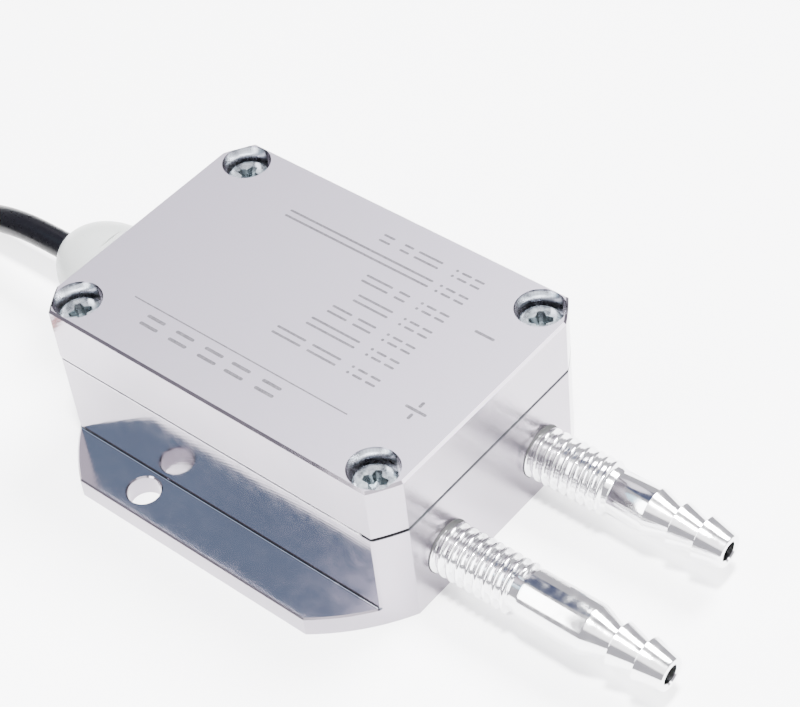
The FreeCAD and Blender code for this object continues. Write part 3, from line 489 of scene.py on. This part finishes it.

# %% [markdown]
# The cover is the same metal, but its top was blasted to a soft even grey so that marks can be read
# on it. One material does both: the roughness follows how far up a face looks, so the top is soft
# and the sides and bevels stay bright. The counterbores of the screws are painted a lighter colour
# inside, a painted light that lifts their shade.

# %% The cover, soft on top and bright at the sides
TOP_FROM, BORE_REACH, BORE_BELOW = 33.4, 4.54, 33.3
cover_finish = fly_cut("blasted_top_aluminium")
looks_up = cover_finish.spread(cover_finish.way.outputs["Z"], 0, 1, 0.97, 0.99)
level = cover_finish.part_of_place("Z")
on_top = cover_finish.calc("MULTIPLY", looks_up, cover_finish.above(level, TOP_FROM, 0.2))
soft_rough = cover_finish.spread(cover_finish.noise(0.25 * MM, 2.0), 0.42, 0.54)
cover_finish.rough(cover_finish.blend(on_top, cover_finish.bright, soft_rough))
# Painted light: the counterbores get a lighter colour that lifts their shade.
in_bore = cover_finish.calc("MULTIPLY", cover_finish.near_corners(BORE_REACH),
                            cover_finish.below(level, BORE_BELOW, 0.1))
with_painted_bore_light = cover_finish.cover_over(in_bore, cover_finish.mottle, (0.66, 0.67, 0.70))
cover_finish.cover_over(on_top, with_painted_bore_light, (0.375, 0.35, 0.408))
cover_finish.bump(cover_finish.calc("MULTIPLY", cover_finish.noise(0.12 * MM, 2.0), on_top), 6e-6)
dress(cover_finish, "cover")

# %% [markdown]
# ## Bright turned and plated metal
# The fittings are turned and polished, so they show thin rings round their axis and hard
# reflections. The screws are zinc plated: a little bluer, with a soft mottle, and their recess is
# painted darker as painted shade.

# %% Turned fittings and plated screws
turned_finish = Finish("bright_turned_metal", (0.93, 0.93, 0.94), metallic=1.0, roughness=0.1)
turning = turned_finish.node("TexWave", wave_type="BANDS", bands_direction="X")
turning.inputs["Scale"].default_value = 900
turning.inputs["Distortion"].default_value = 2.5
turning.inputs["Detail"].default_value = 3
turned_finish.link(turned_finish.mapped(), turning.inputs["Vector"])
turned_finish.bump(turning.outputs["Fac"], 0.8e-6)
turned_finish.bump(turned_finish.noise(2 * MM), 1.5e-6)
turned_finish.rough(turned_finish.spread(turned_finish.noise(1.5 * MM, 4.0), 0.07, 0.18))
dress(turned_finish)
RECESS_REACH, RECESS_BELOW = 2.4, 30.7
zinc_finish = Finish("zinc_plated_steel", (0.80, 0.84, 0.87), metallic=1.0, roughness=0.28)
zinc_finish.bump(zinc_finish.noise(0.5 * MM, 4.0), 10e-6)
zinc_finish.rough(zinc_finish.spread(zinc_finish.noise(0.8 * MM, 4.0), 0.18, 0.4))
mottled = zinc_finish.spread(zinc_finish.noise(1.2 * MM), 0, 1)
spangle = zinc_finish.tint(mottled, (0.36, 0.42, 0.45), (0.60, 0.65, 0.67))
# Painted shade: the screws' cross recess is painted darker.
under_head_top = zinc_finish.below(zinc_finish.part_of_place("Z"), RECESS_BELOW, 0.13)
recess_shade_share = zinc_finish.calc("MULTIPLY", zinc_finish.near_corners(RECESS_REACH), under_head_top)
zinc_finish.cover_over(recess_shade_share, spangle, (0.20, 0.225, 0.24))
dress(zinc_finish, "cover_screws", "board_screws", "terminal_screws")

# %% [markdown]
# ## Nylon, rubber and cable jacket
# Natural nylon is milky because light enters and scatters, so the gland gets subsurface
# scattering with a radius of a few millimetres. The jacket is glossy soft PVC with the faint
# ripple that extrusion leaves along it.

# %% Soft and translucent finishes
nylon_finish = Finish("milky_nylon", (0.30, 0.31, 0.305), roughness=0.32, Subsurface_Weight=0.55,
                      Subsurface_Radius=(1.0, 1.0, 1.0), Subsurface_Scale=2.5 * MM)
nylon_finish.bump(nylon_finish.noise(1.5 * MM, 2.0), 12e-6)
nylon_finish.rough(nylon_finish.spread(nylon_finish.noise(0.6 * MM), 0.27, 0.4))
dress(nylon_finish, "gland_body", "gland_dome_nut")
rubber_finish = Finish("black_rubber", (0.025, 0.025, 0.026), roughness=0.7)
rubber_finish.bump(rubber_finish.noise(0.3 * MM, 3.0), 10e-6)
rubber_finish.rough(rubber_finish.spread(rubber_finish.noise(0.5 * MM), 0.6, 0.8))
dress(rubber_finish, "cover_gasket", "gland_washer", "gland_seal")
jacket_finish = Finish("satin_cable_jacket", (0.002, 0.002, 0.003), roughness=0.34,
                       Specular_IOR_Level=0.12)
jacket_finish.bump(jacket_finish.noise(0.4 * MM, 3.0), 8e-6)
jacket_finish.bump(jacket_finish.noise(5 * MM, 1.0), 40e-6)
jacket_finish.rough(jacket_finish.spread(jacket_finish.noise(1.0 * MM, 4.0), 0.24, 0.36))
lead_curve.materials.append(jacket_finish.material)
dress(jacket_finish, "lead_inner")

# %% [markdown]
# ## Laser marks
# A marking laser burns a thin grey oxide into the blasted top. It is neither bare metal nor paint,
# so the finish is half metallic and rough, with a tiny grain where the pulses overlapped. The marks
# themselves are thin raised bars, made further on, because the part should carry them as shape and
# not only as colour.

# %% The burnt grey of the marks
laser_finish = Finish("laser_mark", (0.16, 0.157, 0.168), metallic=0.6, roughness=0.55)
laser_finish.bump(laser_finish.noise(0.08 * MM, 2.0), 6e-6)
oxide = laser_finish.spread(laser_finish.noise(0.3 * MM), 0, 1)
laser_finish.tint(oxide, (0.045, 0.042, 0.05), (0.11, 0.105, 0.118))
print("laser finish:", laser_finish.material.name)

# %% [markdown]
# ## Inside the housing
# The cover hides the sensor, its hoses and a small circuit board, and they are finished too. Most
# of them are moulded plastics: one colour, a fine grain from the mould and an uneven gloss. One
# helper serves them all, and a table gives it each colour and roughness, the grain's size in
# millimetres and its depth in micrometres, and the pieces to dress.

# %% Moulded plastics
def moulded(name, colour, roughness, grain, depth, **sockets):
    """A moulded plastic or rubber with a fine grain and a faint change of tone."""
    finish = Finish(name, colour, roughness=roughness, **sockets)
    finish.bump(finish.noise(grain * MM), depth * 1e-6)
    finish.rough(finish.spread(finish.noise(6 * grain * MM), 0.85 * roughness, 1.2 * roughness))
    clouds = finish.spread(finish.noise(10 * grain * MM), 0, 1)
    finish.tint(clouds, colour, [0.86 * part for part in colour])
    return finish


MOULDINGS = [
    ("grey_sensor_plastic", (0.035, 0.037, 0.042), 0.5, 0.12, 12, ["pressure_sensor"]),
    ("green_terminal_plastic", (0.02, 0.20, 0.09), 0.4, 0.1, 8, ["terminal_block"]),
    ("blue_trimmer_plastic", (0.01, 0.07, 0.32), 0.38, 0.1, 8, ["zero_trimmer", "span_trimmer"]),
    ("black_epoxy", (0.018, 0.018, 0.019), 0.55, 0.06, 10, ["converter_chip", "protection_diode"]),
    ("red_core_sheath", (0.15, 0.004, 0.006), 0.42, 0.2, 8, ["inner_core_red", "end_core_red"]),
    ("black_core_sheath", (0.012, 0.012, 0.013), 0.42, 0.2, 8,
     ["inner_core_black", "end_core_black"]),
]
for name, colour, roughness, grain, depth, pieces in MOULDINGS:
    dress(moulded(name, colour, roughness, grain, depth), *pieces)
hose_finish = moulded("silicone_hose", (0.72, 0.70, 0.66), 0.4, 0.3, 10, Subsurface_Weight=0.4,
                      Subsurface_Radius=(1.0, 1.0, 1.0), Subsurface_Scale=1 * MM)
dress(hose_finish, "high_port_hose", "low_port_hose")
tie_finish = moulded("black_tie_nylon", (0.02, 0.02, 0.021), 0.4, 0.15, 8)
dress(tie_finish, "coil_ties")

# %% [markdown]
# Metal parts inside are turned brass, a drawn aluminium can and tinned copper. Rings of a wave
# texture along X, Y or Z stand for the marks of turning or drawing.

# %% Brass, can and copper
def drawn_metal(name, colour, roughness, direction, pitch):
    """Metal with fine bands left by a lathe or a die."""
    finish = Finish(name, colour, metallic=1.0, roughness=roughness)
    bands = finish.node("TexWave", wave_type="BANDS", bands_direction=direction)
    bands.inputs["Scale"].default_value = 0.3 / (pitch * MM)
    bands.inputs["Distortion"].default_value = 1.0
    finish.link(finish.mapped(), bands.inputs["Vector"])
    finish.bump(bands.outputs["Fac"], 2e-6)
    finish.rough(finish.spread(finish.noise(0.5 * MM, 4.0), 0.8 * roughness, 1.3 * roughness))
    clouds = finish.spread(finish.noise(1.5 * MM), 0, 1)
    finish.tint(clouds, colour, [0.85 * part for part in colour])
    return finish


dress(drawn_metal("turned_brass", (0.82, 0.62, 0.30), 0.24, "Z", 0.2), "board_spacers")
dress(drawn_metal("drawn_can", (0.80, 0.81, 0.83), 0.3, "Z", 0.3), "filter_capacitor")
dress(drawn_metal("slotted_brass", (0.80, 0.60, 0.30), 0.35, "Y", 0.15), "trimmer_screws")
dress(drawn_metal("bare_copper", (0.90, 0.47, 0.30), 0.28, "X", 0.12), "end_strands")

# %% [markdown]
# The circuit board is glass cloth under green solder mask. Copper tracks show through as lighter
# lines: two wave textures at right angles draw them, and noise decides where each set is seen.

# %% The circuit board
TRACK_PITCH = 1.27
board = Finish("green_solder_mask", (0.01, 0.11, 0.04), roughness=0.3,
               Coat_Weight=0.3, Coat_Roughness=0.15)
tracks = []
for direction, shift in (("X", 0.0), ("Y", 0.4)):
    lines = board.node("TexWave", wave_type="BANDS", bands_direction=direction, wave_profile="TRI")
    lines.inputs["Scale"].default_value = 0.3 / (TRACK_PITCH * MM)
    board.link(board.mapped(shift=(shift, shift, 0)), lines.inputs["Vector"])
    thin = board.spread(lines.outputs["Fac"], 0, 1, 0.62, 0.70)
    where = board.spread(board.noise(5 * MM, 0.0, (1 + shift, 1, 1)), 0, 1, 0.50, 0.53)
    tracks.append(board.calc("MULTIPLY", thin, where))
copper = board.calc("MAXIMUM", *tracks)
board.bump(copper, 35e-6)
board.bump(board.noise(0.4 * MM, 2.0), 5e-6)
board.tint(copper, (0.008, 0.10, 0.035), (0.03, 0.24, 0.09))
dress(board, "circuit_board")

# %% [markdown]
# ## Turned pieces
# A hose fitting is made on a lathe: a profile is cut while the bar spins. A bmesh works the same
# way. A few vertices joined by edges give half of the section, and `bmesh.ops.spin` carries them
# once round the axis. The profile is a closed loop that includes the bore, so the piece has real
# walls. After a full turn the first and last rows are merged and the normals recalculated. Faces
# are shaded smooth, and edges that turn by more than 35 degrees are kept sharp.

# %% Helpers for turned pieces
MERGE_DISTANCE = 0.5e-6


def profile_loop(mesh, profile):
    """A closed loop of edges through (x, radius) points given in millimetres."""
    corners = [mesh.verts.new((x * MM, 0, radius * MM)) for x, radius in profile]
    edges = [mesh.edges.new(pair) for pair in zip(corners, corners[1:] + corners[:1])]
    return corners, edges


def turn_round(mesh, profile, steps=96):
    """Spins a closed profile once round the X axis."""
    corners, edges = profile_loop(mesh, profile)
    bmesh.ops.spin(mesh, geom=corners + edges, cent=(0, 0, 0), axis=(1, 0, 0), dvec=(0, 0, 0),
                   angle=2 * math.pi, steps=steps, use_merge=True, use_duplicate=False)


def new_piece(name, mesh, slot, finish, *replaced, sharp=35):
    """Makes an object of a bmesh, with smooth faces, sharp creases and outward normals."""
    bmesh.ops.remove_doubles(mesh, verts=mesh.verts, dist=MERGE_DISTANCE)
    bmesh.ops.recalc_face_normals(mesh, faces=mesh.faces)
    for face in mesh.faces:
        face.smooth = True
    for edge in mesh.edges:
        edge.smooth = edge.calc_face_angle(0) < math.radians(sharp)
    data = bpy.data.meshes.new(name)
    mesh.to_mesh(data)
    mesh.free()
    data.materials.append(finish.material)
    piece = bpy.data.objects.new(name, data)
    bpy.context.scene.collection.objects.link(piece)
    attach(piece, "root")
    if replaced:
        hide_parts(*replaced)
    print(name, "has", sum(len(polygon.vertices) - 2 for polygon in data.polygons), "triangles")
    return piece


# %% [markdown]
# ## The thread
# A thread is one ridge wound round the bar. The spin operator can also move a step along the axis
# at each step of the turn, through `dvec`, and then a spun section becomes a helix. The ridge's
# foot is sunk a little into the bar. It starts inside the housing's tapped hole, and at the other
# end its crest is lowered gradually, as a die leaves it.

# %% A helical ridge
THREAD_PITCH, THREAD_ROOT = 1.86, 4.22
STEPS_A_TURN = 56
RIDGE_HALF_WIDTH, RIDGE_ROOM, RUN_OUT_SLOPE = 0.82, 1.6, 0.9
RIDGE = [(-0.82, 4.1), (-0.60, 4.3), (-0.42, 4.68), (-0.30, 4.89), (-0.14, 4.97),
         (0.14, 4.97), (0.30, 4.89), (0.42, 4.68), (0.60, 4.3), (0.82, 4.1)]


def wind_thread(mesh, start, end):
    """One rounded ridge from start to end, with its crest run out at the far end."""
    turns = (end - start - RIDGE_ROOM) / THREAD_PITCH
    middle = start + RIDGE_HALF_WIDTH
    corners, edges = profile_loop(mesh, [(middle + along, radius) for along, radius in RIDGE])
    before = set(mesh.verts)
    steps = round(turns * STEPS_A_TURN)
    step = turns * THREAD_PITCH * MM / steps
    wound = bmesh.ops.spin(mesh, geom=corners + edges, cent=(0, 0, 0), axis=(1, 0, 0),
                           dvec=(step, 0, 0), angle=2 * math.pi * turns, steps=steps,
                           use_merge=False, use_duplicate=False)
    last = [item for item in wound["geom_last"] if isinstance(item, bmesh.types.BMEdge)]
    bmesh.ops.contextual_create(mesh, geom=edges)
    bmesh.ops.contextual_create(mesh, geom=last)
    for vert in [*corners, *(set(mesh.verts) - before)]:
        radius = math.hypot(vert.co.y, vert.co.z)
        limit = (THREAD_ROOT + RUN_OUT_SLOPE * max(0.0, end - vert.co.x / MM)) * MM
        if radius > limit:
            vert.co.y *= limit / radius
            vert.co.z *= limit / radius
    return turns


print("thread pitch", THREAD_PITCH, "mm, crest radius", max(radius for _, radius in RIDGE), "mm")

# %% [markdown]
# ## The two hose fittings
# Both ports have the same thread and barbs, but the high-pressure side has the longer shank, so
# that the two hoses can't be confused and pass each other. A barb is a cone that narrows towards
# the tip and ends in a step that faces the housing, where it grips the hose. Its edge is broken by
# a small chamfer, because a razor edge would cut the hose and would catch no light.

# %% Turn the fittings
PORT_HEIGHT, PORT_ACROSS = 9.4, 13.0
HOUSING_FACE, THREAD_SUNK = 39.5, 1.3
BARB_LENGTH, BORE_RADIUS = 5, 1.8


def make_fitting(name, across, thread_end, shank_radius, first_barb, shank_end):
    """A threaded hose barb along X, at a distance across from the middle."""
    mesh = bmesh.new()
    tip = shank_end + 3 * BARB_LENGTH
    seat = HOUSING_FACE - 0.05
    neck = min(shank_radius, 4.45) - 0.12
    profile = [(25, 1.2), (25, 1.9), (25.1, 2.0), (30, 2.0), (30, 4.6), (30.4, 5.0),
               (seat, 5.0), (seat, THREAD_ROOT), (thread_end - 0.35, THREAD_ROOT),
               (thread_end, neck), (thread_end + 0.3, neck), (thread_end + 0.5, shank_radius)]
    if first_barb > shank_radius:
        profile += [(shank_end, shank_radius), (shank_end, first_barb - 0.12),
                    (shank_end + 0.1, first_barb)]
    else:
        profile += [(shank_end - 0.12, shank_radius), (shank_end + 0.12, shank_radius - 0.06)]
    for shoulder in (shank_end + BARB_LENGTH, shank_end + 2 * BARB_LENGTH):
        profile += [(shoulder - 0.1, 2.78), (shoulder, 2.86), (shoulder, 4.12),
                    (shoulder + 0.1, 4.24)]
    profile += [(tip - 0.25, 3.06), (tip - 0.05, 2.96), (tip, 2.8), (tip, 2.05),
                (tip - 0.25, BORE_RADIUS), (40.5, BORE_RADIUS), (40.2, 1.2)]
    turn_round(mesh, profile)
    turns = wind_thread(mesh, HOUSING_FACE - THREAD_SUNK, thread_end)
    bmesh.ops.translate(mesh, verts=mesh.verts, vec=(0, across * MM, PORT_HEIGHT * MM))
    print(name, "thread turns:", round(turns, 1))
    return new_piece(name, mesh, "fitting_metal", turned_finish, name.replace("turned_", ""))


make_fitting("turned_high_port_fitting", -PORT_ACROSS, thread_end=56.6, shank_radius=4.675,
             first_barb=0, shank_end=69.6)
make_fitting("turned_low_port_fitting", PORT_ACROSS, thread_end=55.8, shank_radius=4.15,
             first_barb=4.45, shank_end=63.25)

# %% [markdown]
# Where each fitting meets the housing there is a thin black sealing ring, squeezed flat in the
# tapped hole's countersink. It reads as a fine dark line round the thread.

# %% Sealing rings
RING_PROFILE = [(39.42, 4.1), (39.42, 5.08), (39.56, 5.1), (39.66, 5.02), (39.7, 4.1)]
ring_mesh = bmesh.new()
for across in (-PORT_ACROSS, PORT_ACROSS):
    before = set(ring_mesh.verts)
    turn_round(ring_mesh, RING_PROFILE, steps=72)
    made = list(set(ring_mesh.verts) - before)
    bmesh.ops.translate(ring_mesh, verts=made, vec=(0, across * MM, PORT_HEIGHT * MM))
new_piece("port_sealing_rings", ring_mesh, "seal_rubber", rubber_finish)

# %% [markdown]
# ## Cover screws
# A pan-head screw with a cross recess is pressed, not cut, so every edge of its head is a little
# round and the recess narrows as it goes down. The screw is built standing on the origin: an open
# section is spun round Z, a twelve-cornered cross is drawn inside the top, `triangle_fill` makes
# the flat between them, and the cross is pushed down and narrowed to make the recess. Four copies
# are then turned by different amounts, because no fitter stops every screw at the same angle.

# %% One screw
SCREW_SEAT, HEAD_HEIGHT = 27.75, 3.1
RECESS_DEPTH, RECESS_TAPER = 1.7, 0.55
SCREW_SECTION = [(0, -16), (1.6, -16), (2.0, -15.5), (2.0, 0), (3.9, 0), (3.95, 0.1), (3.95, 2.3),
                 (3.9, 2.6), (3.76, 2.84), (3.55, 2.99), (3.3, 3.07), (3.0, HEAD_HEIGHT)]
cross = []
for quarter in range(4):
    turn = Matrix.Rotation(quarter * math.pi / 2, 3, "Z")
    for x, y in ((2.15, -0.52), (2.15, 0.52), (0.92, 0.92)):
        cross.append(turn @ Vector((x, y, HEAD_HEIGHT)))


def make_screw(mesh):
    """A cross-recess screw along Z with its seat at zero."""
    section = [mesh.verts.new((radius * MM, 0, height * MM)) for radius, height in SCREW_SECTION]
    chain = [mesh.edges.new(pair) for pair in zip(section, section[1:])]
    bmesh.ops.spin(mesh, geom=section + chain, cent=(0, 0, 0), axis=(0, 0, 1), dvec=(0, 0, 0),
                   angle=2 * math.pi, steps=56, use_merge=True, use_duplicate=False)
    bmesh.ops.remove_doubles(mesh, verts=mesh.verts, dist=MERGE_DISTANCE)
    rim = [edge for edge in mesh.edges if edge.is_boundary]
    corners = [mesh.verts.new(corner * MM) for corner in cross]
    outline = [mesh.edges.new(pair) for pair in zip(corners, corners[1:] + corners[:1])]
    bmesh.ops.triangle_fill(mesh, use_beauty=True, use_dissolve=False, edges=rim + outline,
                            normal=(0, 0, 1))
    pushed = bmesh.ops.extrude_edge_only(mesh, edges=outline)["geom"]
    floor = [item for item in pushed if isinstance(item, bmesh.types.BMVert)]
    bmesh.ops.translate(mesh, verts=floor, vec=(0, 0, -RECESS_DEPTH * MM))
    bmesh.ops.scale(mesh, verts=floor, vec=(RECESS_TAPER, RECESS_TAPER, 1))
    floor_edges = [item for item in pushed if isinstance(item, bmesh.types.BMEdge)
                   and all(vert in floor for vert in item.verts)]
    bmesh.ops.contextual_create(mesh, geom=floor_edges)
    bmesh.ops.recalc_face_normals(mesh, faces=mesh.faces)


screw_mesh = bmesh.new()
make_screw(screw_mesh)
print("one screw has", len(screw_mesh.faces), "faces")

# %% [markdown]
# The finished screw is copied four times with `duplicate`, each copy is turned and moved to its
# corner, and the first one is deleted. All four stay one object, as they are in the solid model.

# %% Four screws in the cover
first_verts = list(screw_mesh.verts)
one = [*first_verts, *screw_mesh.edges, *screw_mesh.faces]
for along, across, angle in ((1, -1, 22), (-1, -1, 61), (1, 1, 38), (-1, 1, 9)):
    copy = bmesh.ops.duplicate(screw_mesh, geom=one)["geom"]
    copied = [item for item in copy if isinstance(item, bmesh.types.BMVert)]
    turn = Matrix.Rotation(math.radians(angle), 3, "Z")
    bmesh.ops.rotate(screw_mesh, verts=copied, cent=(0, 0, 0), matrix=turn)
    bmesh.ops.translate(screw_mesh, verts=copied,
                        vec=(along * SCREW_ALONG * MM, across * SCREW_ACROSS * MM, SCREW_SEAT * MM))
bmesh.ops.delete(screw_mesh, geom=first_verts, context="VERTS")
new_piece("pan_head_screws", screw_mesh, "screw_steel", zinc_finish, "cover_screws", sharp=40)

# %% [markdown]
# ## Heads of the cable ties
# Each cable tie closes in a small ratchet head, with the tail trimmed just past it. The heads are
# beveled cubes that sit on top of the coil, where the two bands come together.

# %% Ratchet heads
BAND_RADIUS, HEAD_MIDDLE = 29.7, 13.0
HEAD_SIZE, TAIL_SIZE, TAIL_SHIFT = (6.6, 5.4, 3.2), (8.6, 3.6, 1.1), 0.3
heads = bmesh.new()
for side in (1, -1):
    for size, shift in ((HEAD_SIZE, 0.0), (TAIL_SIZE, TAIL_SHIFT)):
        before = set(heads.verts)
        cube = bmesh.ops.create_cube(heads, size=1)["verts"]
        bmesh.ops.scale(heads, verts=cube, vec=[part * MM for part in size])
        around = {edge for vert in cube for edge in vert.link_edges}
        bmesh.ops.bevel(heads, geom=list(around), offset=0.4 * MM, affect="EDGES", segments=3,
                        profile=0.5, material=-1)
        made = list(set(heads.verts) - before)
        along = COIL_CENTRE[0] + side * (BAND_RADIUS + shift)
        bmesh.ops.translate(heads, verts=made,
                            vec=(along * MM, COIL_CENTRE[1] * MM, HEAD_MIDDLE * MM))
tie_heads = new_piece("tie_heads", heads, "tie_nylon", tie_finish)

# %% [markdown]
# ## Marks on the cover
# The cover of such an instrument carries a laser-marked data panel and a sign at each port. The
# panel here is a plain pattern: a rule, a row of blocks and lines of bars, with no lettering. Each
# bar is a thin cube whose upright edges are beveled round, and it stands a hundredth of a
# millimetre out of the cover, which is what a laser's oxide layer looks like up close. The ports
# get a plus for high pressure and a minus for low.

# %% Bars and dots
COVER_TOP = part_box("cover")[1][2] / MM
BAR_THICKNESS, BAR_MIDDLE_BELOW_TOP = 0.04, 0.01


def add_bar(mesh, left, right, middle, height):
    """A rounded flat bar on the cover, from left to right, all in millimetres."""
    made = bmesh.ops.create_cube(mesh, size=1)["verts"]
    bmesh.ops.scale(mesh, verts=made,
                    vec=((right - left) * MM, height * MM, BAR_THICKNESS * MM))
    upright = [edge for edge in {edge for vert in made for edge in vert.link_edges}
               if abs(edge.verts[0].co.z - edge.verts[1].co.z) > 0.75 * BAR_THICKNESS * MM]
    rounding = 0.49 * min(height, right - left) * MM
    curved = bmesh.ops.bevel(mesh, geom=upright, offset=min(rounding, 0.5 * MM), affect="EDGES",
                             segments=4, profile=0.5, material=-1)
    moved = {*curved["verts"], *(vert for vert in made if vert.is_valid)}
    level = COVER_TOP - BAR_MIDDLE_BELOW_TOP
    bmesh.ops.translate(mesh, verts=list(moved),
                        vec=((left + right) / 2 * MM, middle * MM, level * MM))


HALF_BLOCK = 2.1
marks = bmesh.new()
add_bar(marks, -25.9, 22.8, -15.6, 0.28)
for middle in (-18.6, -11.8, -5.0, 1.2, 8.1):
    for row in (-17.7, -19.7):
        add_bar(marks, middle - HALF_BLOCK, middle + HALF_BLOCK, row, 0.7)
print("faces in the title row:", len(marks.faces))

# %% [markdown]
# The lines of the panel run from a pair of short label bars through two dots to a value bar. A
# small table gives each line's middle across the cover and the ends of its value bars, and the
# rest is the same for all of them. The signs come last: three bars for the plus, so that none
# overlaps another, and one for the minus.

# %% The lines of the panel, and the port signs
HALF_GAP, LINE_WIDTH, DOT_WIDTH, SIGN_WIDTH = 0.75, 0.5, 0.6, 0.6
LABEL_BARS = [(17.6, 19.7), (20.4, 22.5)]
PANEL_LINES = [
    (-7.5, [(-0.4, 6.1), (7.5, 13.9)]),
    (-2.6, [(3.1, 13.9)]),
    (1.6, [(4.2, 8.6), (9.9, 13.9)]),
    (6.1, [(6.2, 13.9)]),
    (10.7, [(4.2, 10.1), (11.5, 13.9)]),
    (15.9, [(-18.1, 14.8)]),
    (20.4, [(0.1, 2.6), (4.8, 6.9), (8.0, 13.4)]),
]
for middle, values in PANEL_LINES:
    for left, right in [*values, *LABEL_BARS]:
        for row in (-HALF_GAP, HALF_GAP):
            add_bar(marks, left, right, middle + row, LINE_WIDTH)
    for row in (-HALF_GAP, HALF_GAP):
        add_bar(marks, 16.3, 16.9, middle + row, DOT_WIDTH)
add_bar(marks, 29.25, 33.65, -8.5, SIGN_WIDTH)
add_bar(marks, 31.15, 31.75, -6.97, 1.4)
add_bar(marks, 31.15, 31.75, -10.03, 1.4)
add_bar(marks, 28.0, 32.2, 11.4, SIGN_WIDTH)
new_piece("cover_marks", marks, "housing_aluminium", laser_finish)
